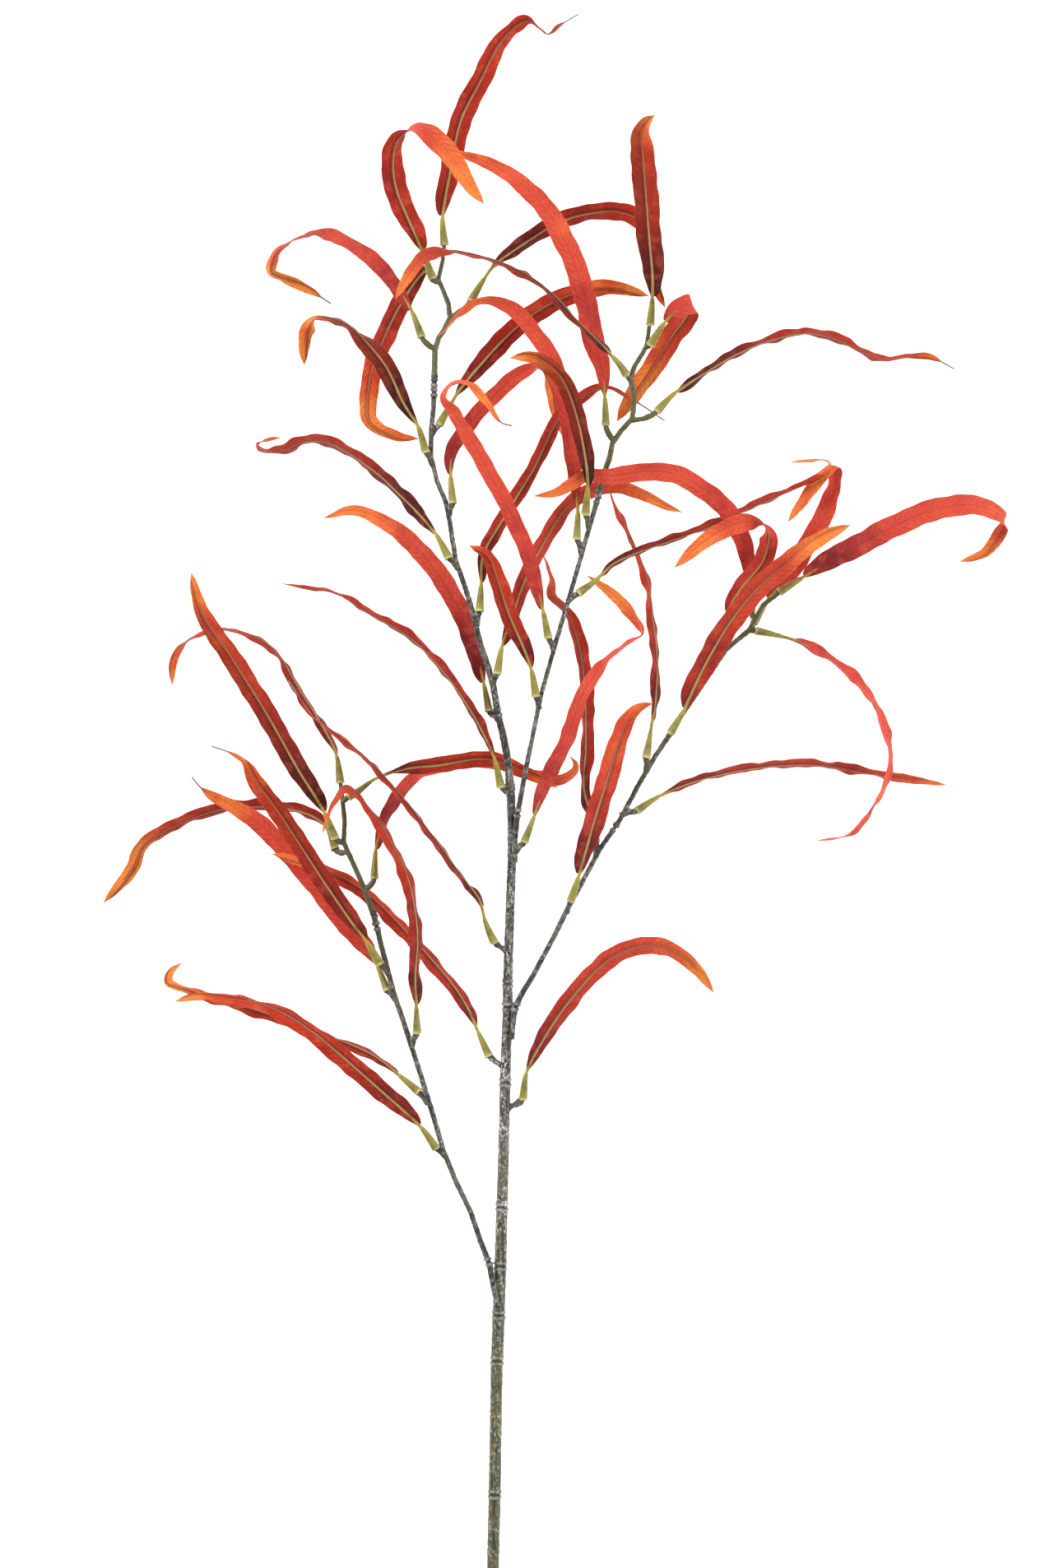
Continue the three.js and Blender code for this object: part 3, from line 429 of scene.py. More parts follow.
@dataclass(frozen=True)
class BarkPlastic:
    """Dark grey moulded bark with whitish flecks, olive patches and dark lines at the joints."""

    dark: Colour = (40, 37, 34)
    grey: Colour = (92, 88, 82)
    fleck: Colour = (214, 212, 206)
    pale: Colour = (142, 140, 134)
    olive: Colour = (84, 80, 46)
    joint: Colour = (32, 29, 25)

    def material(self) -> bpy.types.Material:
        """Builds the bark from flecks stretched along the stem and the olive that it carries."""
        bench = NodeBench("bark_plastic")
        at = bench.vector_of("grain_at")
        cloud = bench.speckle(at, 240.0, 4.0, 0.65)
        colour = bench.mixed(bench.between(cloud, 0.4, 0.62), tint(self.dark), tint(self.grey))
        flecked = bench.value_of("flecked")
        pale = bench.maths("MULTIPLY", bench.between(flecked, 1.0, 1.7), bench.between(cloud, 0.3, 0.6))
        colour = bench.mixed(bench.maths("MULTIPLY", pale, 0.4), colour, tint(self.pale))
        patches = bench.speckle(at, 90.0, 3.0, 0.6)
        olive = bench.between(bench.maths("ADD", patches, bench.value_of("olive")), 0.62, 1.0)
        colour = bench.mixed(bench.maths("MULTIPLY", olive, 0.85), colour, tint(self.olive))
        flecks = bench.between(bench.speckle(at, 640.0, 4.0, 0.75), 0.51, 0.59)
        crowd = bench.between(bench.speckle(at, 150.0, 2.0), 0.34, 0.62)
        flecks = bench.maths("MULTIPLY", flecks, bench.maths("ADD", bench.maths("MULTIPLY", crowd, 0.5), 0.25))
        bare = bench.maths("SUBTRACT", flecked, bench.maths("MULTIPLY", olive, 0.7))
        flecks = bench.maths("MULTIPLY", flecks, bench.maths("MAXIMUM", bare, 0.1), clamp=True)
        colour = bench.mixed(flecks, colour, tint(self.fleck))
        drawn_out = bench.add("VectorMath", {0: at, 1: (1.0, 0.12, 1.0)}, operation="MULTIPLY").outputs[0]
        streak = bench.between(bench.speckle(drawn_out, 520.0, 2.0), 0.53, 0.64)
        colour = bench.mixed(bench.maths("MULTIPLY", streak, 0.75), colour, tint(self.dark))
        colour = bench.mixed(bench.maths("MULTIPLY", bench.value_of("worn"), 0.5), colour, tint(self.fleck))
        colour = bench.mixed(bench.maths("MULTIPLY", bench.value_of("joint"), 0.9), colour, tint(self.joint))
        bump = bench.relief(cloud, 0.8)
        bump = bench.relief(bench.speckle(at, 900.0, 2.0), 0.2, bump)
        gloss = bench.maths("ADD", bench.maths("MULTIPLY", cloud, 0.25), 0.5)
        return bench.finish({
            "Base Color": colour, "Roughness": gloss, "Normal": bump, "Specular IOR Level": 0.3,
            "Sheen Weight": 0.25, "Sheen Roughness": 0.4,
        })


@dataclass(frozen=True)
class TwigPlastic:
    """Smooth olive grey-green moulded twig."""

    green: Colour = (76, 78, 42)
    grey: Colour = (94, 92, 62)
    dark: Colour = (44, 43, 26)

    def material(self) -> bpy.types.Material:
        """Builds the twig's plastic from slow clouds and fine dark dust."""
        bench = NodeBench("twig_plastic")
        places = bench.places()
        cloud = bench.between(bench.speckle(places, 110.0, 3.0, 0.6), 0.35, 0.65)
        colour = bench.mixed(cloud, tint(self.green), tint(self.grey))
        dust = bench.between(bench.speckle(places, 520.0, 3.0, 0.6), 0.54, 0.72)
        colour = bench.mixed(bench.maths("MULTIPLY", dust, 0.6), colour, tint(self.dark))
        bump = bench.relief(bench.speckle(places, 360.0, 3.0), 0.3)
        gloss = bench.maths("ADD", bench.maths("MULTIPLY", dust, 0.2), 0.42)
        return bench.finish({
            "Base Color": colour, "Roughness": gloss, "Normal": bump, "Specular IOR Level": 0.35,
        })


def mesh_piece(
    name: str, points: np.ndarray, faces: list[tuple[int, ...]], material: bpy.types.Material,
    carried: dict[str, np.ndarray], sharp_deg: float = 50.0,
) -> bpy.types.Object:
    """Makes a piece of the spray from points and faces.

    Args:
        name: The piece's name.
        points: Its vertices, in metres.
        faces: The vertices round each face.
        material: Its finish.
        carried: Numbers or vectors for the material, one a vertex, by name.
        sharp_deg: Edges that turn further than this stay sharp.

    Returns:
        The piece, riding on the spray's one body.
    """
    mesh = bpy.data.meshes.new(name)
    mesh.from_pydata(points.tolist(), [], faces)
    mesh.validate()
    for key, values in carried.items():
        kind, member = ("FLOAT_VECTOR", "vector") if values.ndim == 2 else ("FLOAT", "value")
        layer = mesh.attributes.new(key, kind, "POINT")
        layer.data.foreach_set(member, np.ascontiguousarray(values, np.float32).ravel())
    mesh.shade_smooth()
    mesh.set_sharp_from_angle(angle=math.radians(sharp_deg))
    mesh.materials.append(material)
    piece = bpy.data.objects.new(name, mesh)
    bpy.context.scene.collection.objects.link(piece)
    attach(piece, "root")
    return piece


def tube_faces(rings: int, sides: int) -> list[tuple[int, ...]]:
    """Faces of a closed tube through rings of vertices, with a flat cap at each end."""
    faces = [
        (i * sides + j, i * sides + (j + 1) % sides, (i + 1) * sides + (j + 1) % sides, (i + 1) * sides + j)
        for i in range(rings - 1)
        for j in range(sides)
    ]
    last = (rings - 1) * sides
    return [*faces, tuple(range(sides))[::-1], tuple(range(last, last + sides))]


def lathed(
    centres: np.ndarray, side: np.ndarray, face: np.ndarray, radii: np.ndarray, turns: np.ndarray,
) -> np.ndarray:
    """Rings of points round a line.

    Args:
        centres: The line's places.
        side: Directions square to it, one a place.
        face: Directions square to both, one a place.
        radii: Radii, by place and by turn.
        turns: The angles round each ring, from face towards side.

    Returns:
        The points, ring after ring.
    """
    out = np.cos(turns)[None, :, None] * face[:, None, :] + np.sin(turns)[None, :, None] * side[:, None, :]
    return (centres[:, None, :] + radii[:, :, None] * out).reshape(-1, 3)


@dataclass(frozen=True)
class LeafRings:
    """A packed leaf's rings, each from the rib round the right edge and the left edge."""

    corners: np.ndarray
    mouth_radius: float = 2.4 * MM

    @classmethod
    def read(cls, node: bpy.types.Object) -> LeafRings:
        """Reads the rings of a packed leaf from its sleeve's mouth to its tip.

        Args:
            node: The leaf's CAD object.

        Returns:
            Its rings.
        """
        form = bmesh.new()
        form.from_mesh(node.data)
        bmesh.ops.remove_doubles(form, verts=form.verts, dist=WELD)
        form.verts.index_update()
        places = np.array([tuple(v.co) for v in form.verts])
        joined = [{e.other_vert(v).index for e in v.link_edges} for v in form.verts]
        form.free()
        rings = [cls._mouth(places)]
        seen = set(rings[0])
        while ahead := list({j for i in rings[-1] for j in joined[i]} - seen):
            rings.append(cls._matched(places, joined, rings[-1], ahead))
            seen.update(ahead)
        return cls(cls._from_rib(places[np.array(rings)]))

    @classmethod
    def _mouth(cls, places: np.ndarray) -> list[int]:
        """Finds the round mouth's six corners, in order round it."""
        def miss(i: int) -> tuple[float, np.ndarray]:
            near = np.argsort(np.linalg.norm(places - places[i], axis=1))[:RING_SIZE]
            reach = np.linalg.norm(places[near] - places[near].mean(0), axis=1)
            return float(np.abs(reach - cls.mouth_radius).max()), near

        near = min((miss(i) for i in range(len(places))), key=lambda found: found[0])[1]
        arms = places[near] - places[near].mean(0)
        normal = unit(np.cross(arms[0], arms[1]))
        turned = np.cross(normal, arms[0])
        order = np.argsort(np.arctan2(arms @ turned, arms @ arms[0]))
        return [int(near[k]) for k in order]

    @staticmethod
    def _matched(places: np.ndarray, joined: list[set[int]], ring: list[int], ahead: list[int]) -> list[int]:
        """Puts the next ring's corners in the order of the ring behind them."""
        if len(ahead) != RING_SIZE:
            raise ValueError(f"a leaf ring has {len(ahead)} corners")
        steps = np.full((RING_SIZE, RING_SIZE), FAR_OFF)
        for a, i in enumerate(ring):
            for b, j in enumerate(ahead):
                if j in joined[i]:
                    steps[a, b] = np.sum((places[i] - places[j]) ** 2)
        best = PAIRINGS[steps[np.arange(RING_SIZE), PAIRINGS].sum(1).argmin()]
        return [ahead[k] for k in best]

    @staticmethod
    def _from_rib(rings: np.ndarray) -> np.ndarray:
        """Turns all rings so that they start at the rib and go round by the right edge."""
        middles = rings.mean(1)
        widest = int(np.linalg.norm(rings - middles[:, None], axis=2).max(1)[3:].argmax()) + 3
        ring = rings[widest]
        thin = np.linalg.norm(ring - np.roll(ring, -1, axis=0), axis=1)
        pair = int((thin + np.roll(thin, -3)).argmin())
        corners = [(pair + k) % RING_SIZE for k in range(RING_SIZE)]
        edges = ring[[corners[0], corners[1], corners[3], corners[4]]].mean(0)
        mids = (corners[2], corners[5])
        rib, under = sorted(mids, key=lambda k: -np.linalg.norm(ring[k] - edges))
        along = middles[min(widest + 1, len(rings) - 1)] - middles[widest - 1]
        side = np.cross(along, ring[rib] - ring[under])
        step = 1 if (ring[(rib + 1) % RING_SIZE] - ring[(rib - 1) % RING_SIZE]) @ side > 0 else -1
        return rings[:, [(rib + step * k) % RING_SIZE for k in range(RING_SIZE)]]


class BaseForm(Enum):
    """Which sides of a blade's base are round. The others taper down to the sleeve."""

    RIGHT = 1
    LEFT = -1
    BOTH = 0
    NEITHER = 2


ROUND_BASE = ((0, 0.3), (2, 0.54), (5, 0.74), (10, 0.91), (17, 1.0))
TAPERED_BASE = ((0, 0.14), (4, 0.33), (9, 0.52), (14, 0.67), (21, 0.83), (30, 0.96), (38, 1.0))


@dataclass
class Leaf:
    """One leaf: cloth blade, moulded rib, sleeve with its stalk, and its wire if it shows."""

    number: int
    orange_from: float = 0.85
    base: float = 0.2
    rib_to: float = 0.9
    wire: bool = False
    long_stalk: bool = False
    form: BaseForm = BaseForm.RIGHT
    brown: float = 1.0
    dull: float = 0.0
    # Strength of the painted shade over the blade's half on the rib's shaded side.
    shaded_half: float = 0.15
    slim: float = 0.95
    taper_bend: float = 2.6
    # Strength of the painted highlight along the rib's crest.
    rib_highlight: float = 0.8
    blade_step: float = 1.4 * MM
    across_steps: int = 16
    thickness: float = 0.5 * MM
    cad_half: float = 0.35 * MM
    belly: float = 0.1
    ruffle: float = 0.5 * MM
    edge_play: float = 0.04
    crease: float = 0.17 * MM
    crease_lengths: tuple[float, ...] = (7.5, 11.0, 17.0)
    point_length: float = 6 * MM
    sides: int = 20
    rings: LeafRings = field(init=False)

    @property
    def name(self) -> str:
        """The leaf's node."""
        return f"leaf_{self.number:02d}"

    @property
    def shaded_side(self) -> int:
        """The side of the rib that gets painted shade, on the blade and on the rib's foot: 1 for the right, -1
        for the left.
        """
        return -1 if self.number % 3 else 1

    def measure(self, node: bpy.types.Object) -> None:
        """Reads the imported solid's line, edges and face."""
        corners = LeafRings.read(node).corners
        self.round_rings = 4 if self.long_stalk else 3
        first, last = self.round_rings, len(corners) - (1 if self.wire else 0)
        self.facing = unit(corners[:, 0] - corners[:, 3])
        self.middle = corners[:, 3] + self.facing * self.cad_half
        self.middle[:first] = corners[:first].mean(1)
        if self.wire:
            self.middle[-2:] = corners[-2:].mean(1)
        self.right = corners[:, 1:3].mean(1) - self.middle
        self.left = corners[:, 4:6].mean(1) - self.middle
        steps = np.linalg.norm(np.diff(self.middle, axis=0), axis=1)
        self.distance = np.concatenate([[0.0], np.cumsum(steps)])
        self.start, self.end = self.distance[first], self.distance[last - 1]
        self.tip = self.distance[-1]

    def along(self, at: np.ndarray) -> tuple[np.ndarray, np.ndarray, np.ndarray]:
        """Follows the leaf's line.

        Args:
            at: Distances from the sleeve's mouth, also a little before it.

        Returns:
            The places there, the side directions and the face directions.
        """
        inside = np.clip(at, 0, self.tip)
        places = eased(self.distance, self.middle, inside)
        ahead = eased(self.distance, self.middle, np.clip(inside + 0.5 * MM, 0, self.tip))
        behind = eased(self.distance, self.middle, np.clip(inside - 0.5 * MM, 0, self.tip))
        forward = unit(ahead - behind)
        places = places + forward * (at - inside)[:, None]
        facing = eased(self.distance, self.facing, inside)
        facing = unit(facing - forward * np.sum(facing * forward, axis=1, keepdims=True))
        return places, np.cross(forward, facing), facing

    def arm(self, sign: int, at: np.ndarray) -> np.ndarray:
        """Reaches from the blade's middle to one edge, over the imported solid's edge.

        Args:
            sign: 1 for the right edge, -1 for the left one.
            at: Distances from the sleeve's mouth.

        Returns:
            The way to the edge at each distance.
        """
        edge = self.right if sign > 0 else self.left
        long = self.end - self.start
        ring_share = (self.distance - self.start) / long
        inner = (ring_share > 0.04) & (ring_share < 0.93)
        full = np.linalg.norm(edge[inner], axis=1) / packed_outline(ring_share[inner])
        full = np.interp(at, self.distance[inner], full)
        is_round = self.form is BaseForm.BOTH or self.form.value == sign
        stops = ROUND_BASE if is_round else TAPERED_BASE
        rise = self.slim * np.interp((at - self.start) / MM, *np.transpose(stops))
        point = np.sqrt(1 - (1 - np.clip((self.end - at) / self.point_length, 0, 1)) ** 2)
        play = 1 + self.edge_play * ripple(at / MM, (12.0, 19.0, 33.0), 10 * self.number + sign)
        half = full * rise * point * play * tip_outline((at - self.start) / long, self.taper_bend)
        return unit(eased(self.distance, edge, at)) * np.maximum(half, 0.3 * MM)[:, None]

    def creases(self, past: np.ndarray, span: np.ndarray) -> np.ndarray:
        """Shallow slanted folds over one half of the blade.

        Args:
            past: Millimetres from the blade's start.
            span: Millimetres from the middle line.

        Returns:
            The folds' height, between about -1 and 1.
        """
        draw = np.random.default_rng(900 + self.number)
        total = np.zeros(len(past))
        for length in self.crease_lengths:
            slant, shift = draw.uniform(-1.1, 1.1), draw.uniform(0, 2 * math.pi)
            total += np.sin(2 * math.pi * (past + slant * span) / length + shift)
        return total * (0.6 + 0.4 * ripple(past, (31.0, 53.0), self.number)) / len(self.crease_lengths) ** 0.5

    def ripeness(self, share: np.ndarray) -> np.ndarray:
        """How far the colour has turned at each share of the blade: 0 is the base, 1 the orange tip."""
        turn = self.orange_from
        return np.interp(
            share, [0.0, 0.16, 0.34, 0.62 * turn, turn, turn + 0.14],
            [self.base, self.base + 0.14, 0.46, 0.6, 0.74, 1.0],
        )

    def blade(self, cloth: bpy.types.Material) -> bpy.types.Object:
        """Makes the cloth blade as one closed thin sheet with a waved edge."""
        count = max(24, int((self.end - self.start) / self.blade_step))
        at = np.linspace(self.start, self.end, count)
        share = (at - self.start) / (self.end - self.start)
        middle, _, facing = self.along(at)
        across = np.linspace(-1, 1, self.across_steps + 1)
        past = (at - self.start) / MM
        grid = np.zeros((count, len(across), 3))
        spans = np.zeros((count, len(across)))
        for sign in (1, -1):
            arm = self.arm(sign, at)
            half = np.linalg.norm(arm, axis=1)
            calm = np.clip(half / (4 * MM), 0, 1)
            lift = self.ruffle * calm * ripple(at / MM, (14.0, 22.0, 37.0), 10 * self.number + sign + 500)
            for j, t in enumerate(across):
                if t * sign < 0:
                    continue
                out = abs(t)
                fold = self.crease * calm * min(1.0, 2.5 * out) * self.creases(past, t * half / MM)
                rise = self.belly * half * (out - out**2) + lift * out**2.2 + fold
                grid[:, j] = middle + arm * out + facing * rise[:, None]
                spans[:, j] = t * half
        normal = unit(np.cross(np.gradient(grid, axis=0), np.gradient(grid, axis=1)))
        normal *= np.sign(np.sum(normal * facing[:, None], axis=2, keepdims=True) + 1e-9)
        # Painted shade beside the rib, and over the half of the blade on its shaded side.
        toward_shade = spans.ravel() / MM * self.shaded_side
        shadow_beside_rib = np.exp(-(((toward_shade - 1.5) / 0.8) ** 2))
        shadow_beside_rib = np.maximum(shadow_beside_rib, self.shaded_half * smooth_step(0.3, 3.0, toward_shade))
        left_over = np.clip((self.end - at) / self.point_length, 0, 1)
        depth = 0.5 * self.thickness * (1 - 0.45 * np.abs(across) ** 5)
        depth = depth[None, :, None] * smooth_step(-1.0, 0.25, left_over)[:, None, None]
        top, bottom = grid + normal * depth, grid - normal * depth
        self._keep_up(top, bottom)
        self.crown = top[:, self.across_steps // 2].copy()
        self.crown_at = at
        piece = mesh_piece(
            f"{self.name}_blade", np.concatenate([top.reshape(-1, 3), bottom.reshape(-1, 3)]),
            self._sheet_faces(count, len(across)), cloth, {
                "ripe": np.tile(np.repeat(self.ripeness(share), len(across)), 2),
                "rib_side": np.repeat([self.brown, 0.0], count * len(across)),
                "run": np.tile(np.repeat(past, len(across)), 2),
                "span": np.tile(spans.ravel() / MM, 2),
                "across": np.tile(np.abs(across), 2 * count),
                "shadow_beside_rib": np.tile(shadow_beside_rib, 2),
                "dull": np.repeat([self.dull, 0.0], count * len(across)),
                "seed": np.full(2 * count * len(across), 3.7 * self.number),
            },
        )
        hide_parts(self.name)
        return piece

    @staticmethod
    def _keep_up(top: np.ndarray, bottom: np.ndarray) -> None:
        """Keeps both sides of a blade off the surface that the spray lies on."""
        for sheet in (top, bottom):
            sheet[..., 2] = np.maximum(sheet[..., 2], 0.05 * MM)

    @staticmethod
    def _sheet_faces(rows: int, columns: int) -> list[tuple[int, ...]]:
        """Faces of two sheets of vertices, closed round their rim."""
        under = rows * columns
        faces = []
        for i in range(rows - 1):
            for j in range(columns - 1):
                a = i * columns + j
                faces.append((a, a + 1, a + columns + 1, a + columns))
                faces.append((under + a, under + a + columns, under + a + columns + 1, under + a + 1))
            for a, turn in ((i * columns, 1), (i * columns + columns - 1, -1)):
                faces.append((a, a + columns, under + a + columns, under + a)[::turn])
        for row, turn in ((0, -1), (rows - 1, 1)):
            for j in range(columns - 1):
                a = row * columns + j
                faces.append((a, a + 1, under + a + 1, under + a)[::turn])
        return faces

    def rib(self, plastic: bpy.types.Material) -> bpy.types.Object:
        """Makes the moulded rib, half round, along the middle of the blade's rib side."""
        last = self.start + (self.end - self.start) * self.rib_to
        at = np.linspace(self.start - 1 * MM, last, max(24, int((last - self.start) / (1.8 * MM))))
        share = (at - self.start) / (self.end - self.start)
        _, side, facing = self.along(at)
        foot = eased(self.crown_at, self.crown, np.clip(at, self.crown_at[0], self.crown_at[-1]))
        stray = 1 + 0.12 * ripple(at / MM, (6.0, 11.0, 23.0), 700 + self.number)
        wide = stray * np.interp(share, [-0.01, 0.05, 0.4, 0.8, 1], [0.95, 1.02, 0.85, 0.55, 0.4]) * MM
        tall = stray * np.interp(share, [-0.01, 0.05, 0.4, 0.8, 1], [0.8, 0.75, 0.62, 0.4, 0.25]) * MM
        end = np.sqrt(np.clip((last - at) / (6 * MM), 0.01, 1))
        wide, tall = wide * end, tall * end
        turns = np.linspace(-0.5, 0.5, 7) * math.pi
        outs, ups = np.sin(turns), np.cos(turns)
        profile = np.stack([
            foot + side * (wide * out)[:, None] + facing * (tall * up - 0.16 * MM * end)[:, None]
            for out, up in zip(outs, ups)
        ] + [foot - facing * (0.3 * MM * end)[:, None]], axis=1)
        sides = profile.shape[1]
        # How far each point faces up off the blade, for the rib's painted highlight.
        lit_crest = np.concatenate([ups, [0.0]])
        # Painted shade along the rib's foot on its shaded side.
        groove = np.concatenate([np.clip(outs * self.shaded_side, 0, 1) ** 1.5, [0.0]])
        return mesh_piece(
            f"{self.name}_rib", profile.reshape(-1, 3), tube_faces(len(at), sides), plastic, {
                "ripe": np.repeat(np.clip(share / max(self.orange_from, 0.6), 0, 1), sides),
                "lit_crest": np.tile(lit_crest, len(at)),
                "groove": np.tile(groove, len(at)),
                "pale": np.full(len(at) * sides, self.rib_highlight),
            }, sharp_deg=75,
        )

    def sleeve(self, plastic: bpy.types.Material) -> bpy.types.Object:
        """Makes the sleeve with its open mouth and the stalk that runs into the blade."""
        start = self.start / MM
        outer = [
            (-1.1, 2.5), (-0.9, 2.62), (-0.3, 2.58), (0.8, 2.44), (2.5, 2.3), (4.5, 2.15), (6.5, 2.02),
            (8.5, 1.85), (10.5, 1.68), (12.5, 1.52), (13.8, 1.45), (14.6, 1.38), (15.2, 1.18), (16.2, 1.0),
        ]
        outer += [(16.2 + (start - 16.2) * k / 4, 1.0) for k in range(1, 5) if start > 20]
        outer += [(start + 2, 1.0), (start + 5, 0.92), (start + 8, 0.74), (start + 11, 0.5), (start + 13, 0.25)]
        inner = [(3.4, 1.2), (2.6, 1.62), (0.9, 2.0), (-0.6, 2.2), (-1.0, 2.36)]
        stations = np.array(inner + outer)
        at = stations[:, 0] * MM
        centres, side, facing = self.along(at)
        sink = np.interp(stations[:, 0], [start, start + 5, start + 13], [0.0, 0.25, 0.3])
        centres = centres + facing * (sink * MM)[:, None]
        turns = np.linspace(0, 2 * math.pi, self.sides, endpoint=False)
        seam = np.exp(-(((np.abs(np.sin(turns)) - 1) / 0.02) ** 2))
        body = smooth_step(16, 12, stations[:, 0]) * (np.arange(len(stations)) >= len(inner))
        lumps = 1 + 0.03 * np.cos(3 * turns + self.number)[None, :] * body[:, None]
        radii = stations[:, 1:2] * lumps + 0.16 * seam[None, :] * body[:, None]
        points = lathed(centres, side, facing, radii * MM, turns)
        points[:, 2] = np.maximum(points[:, 2], 0.05 * MM)
        reach = np.clip(stations[:, 0] / (start + 4), 0, 1)
        return mesh_piece(
            f"{self.name}_sleeve", points, tube_faces(len(stations), self.sides), plastic, {
                "reach": np.repeat(reach, self.sides),
                "seam": (seam[None, :] * body[:, None]).ravel(),
            }, sharp_deg=60,
        )

    def bare_wire(self, metal: bpy.types.Material) -> bpy.types.Object:
        """Makes the wire that comes out past the blade's tip."""
        at = np.linspace(self.end - 5 * MM, self.tip, 14)
        centres, side, facing = self.along(at)
        radius = np.interp(at, [at[0], self.tip - 0.4 * MM, self.tip], [0.5, 0.46, 0.25]) * MM
        turns = np.linspace(0, 2 * math.pi, 8, endpoint=False)
        points = lathed(centres, side, facing, np.repeat(radius[:, None], 8, axis=1), turns)
        points[:, 2] = np.maximum(points[:, 2], 0.05 * MM)
        return mesh_piece(f"{self.name}_wire", points, tube_faces(14, 8), metal, {})


@dataclass
class Stem:
    """A moulded stem with its spurs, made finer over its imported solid."""

    name: str
    slot: Slot
    line_mm: tuple[tuple[float, float, float], ...]
    joints_mm: tuple[float, ...] = ()
    olive: tuple[tuple[float, float], ...] = ((0.0, 0.1), (1.0, 0.1))
    flecked: tuple[tuple[float, float], ...] = ((0.0, 0.55), (1.0, 0.55))
    skin_mm: tuple[tuple[float, float], ...] = ((0.0, 0.3), (1.0, 0.3))
    voxel: float = 0.5 * MM
    lump: float = 0.2 * MM
    spur_skin: float = 0.4 * MM

    def surface(self, node: bpy.types.Object) -> tuple[np.ndarray, list[tuple[int, ...]]]:
        """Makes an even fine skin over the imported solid.

        Args:
            node: The stem's CAD object.

        Returns:
            The skin's points and faces.
        """
        copy = bpy.data.objects.new("skin", node.data.copy())
        bpy.context.scene.collection.objects.link(copy)
        form = bmesh.new()
        form.from_mesh(copy.data)
        bmesh.ops.remove_doubles(form, verts=form.verts, dist=WELD)
        form.to_mesh(copy.data)
        form.free()
        remesh = copy.modifiers.new("skin", "REMESH")
        remesh.mode = "VOXEL"
        remesh.voxel_size = self.voxel
        soften = copy.modifiers.new("soften", "SMOOTH")
        soften.factor, soften.iterations = 0.5, 4
        skin = bpy.data.meshes.new_from_object(copy.evaluated_get(bpy.context.evaluated_depsgraph_get()))
        points = np.array([tuple(v.co) for v in skin.vertices])
        normals = np.array([tuple(v.normal) for v in skin.vertices])
        faces = [tuple(p.vertices) for p in skin.polygons]
        bpy.data.objects.remove(copy)
        bpy.data.meshes.remove(skin)
        self.normals = normals
        return points, faces

    def line(self) -> tuple[np.ndarray, np.ndarray]:
        """The stem's centreline in short steps, with distances from its root."""
        stations = placed(self.line_mm)
        steps = np.linalg.norm(np.diff(stations, axis=0), axis=1)
        distance = np.concatenate([[0.0], np.cumsum(steps)])
        at = np.linspace(0, distance[-1], max(2, int(distance[-1] / (2 * MM))))
        return eased(distance, stations, at), at

    def build(self, node: bpy.types.Object, finish: bpy.types.Material) -> bpy.types.Object:
        """Makes the stem with its bark's lumps, joint lines and colours.

        Args:
            node: The stem's CAD object.
            finish: Its material.

        Returns:
            The piece.
        """
        points, faces = self.surface(node)
        centre, at = self.line()
        nearest = np.concatenate([
            np.linalg.norm(points[k:k + 4000, None] - centre[None], axis=2).argmin(1)
            for k in range(0, len(points), 4000)
        ])
        forward = unit(np.gradient(centre, axis=0))[nearest]
        arm = points - centre[nearest]
        slide = np.sum(arm * forward, axis=1)
        along = at[nearest] + slide
        round_arm = arm - forward * slide[:, None]
        joint = np.zeros(len(points))
        shoulder = np.zeros(len(points))
        for y_mm in self.joints_mm:
            spot = at[np.abs(centre[:, 1] - (y_mm - SPRAY_MIDDLE_MM[1]) * MM).argmin()]
            off = (along - spot) / MM
            near = np.linalg.norm(round_arm, axis=1) < 5 * MM
            joint = np.maximum(joint, np.exp(-((off / 0.75) ** 2)) * near)
            shoulder = np.maximum(shoulder, np.exp(-(((np.abs(off) - 1.6) / 0.9) ** 2)) * near)
        lumps = np.array([
            noise.noise(Vector(p) * 420) + 0.6 * noise.noise(Vector(p) * 1100) for p in points.tolist()
        ])
        reach = np.linalg.norm(round_arm, axis=1)
        spur = smooth_step(1.6, 2.6, reach / np.median(reach))
        share = along / at[-1]
        skin = np.interp(share, *np.transpose(self.skin_mm)) * MM
        swell = skin + self.lump * lumps + self.spur_skin * spur
        swell += 0.7 * MM * shoulder - 0.6 * MM * joint
        points = points + self.normals * swell[:, None]
        points[:, 2] = np.maximum(points[:, 2], 0.02 * MM)
        piece = mesh_piece(self.name + "_bark", points, faces, finish, {
            "grain_at": np.column_stack([round_arm[:, 0], along * 0.6, round_arm[:, 2]]),
            "flecked": np.interp(share, *np.transpose(self.flecked)),
            "joint": joint,
            "worn": shoulder * np.clip(0.5 + lumps, 0, 1),
            "olive": np.interp(share, *np.transpose(self.olive)),
        }, sharp_deg=80)
        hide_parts(self.name)
        return piece


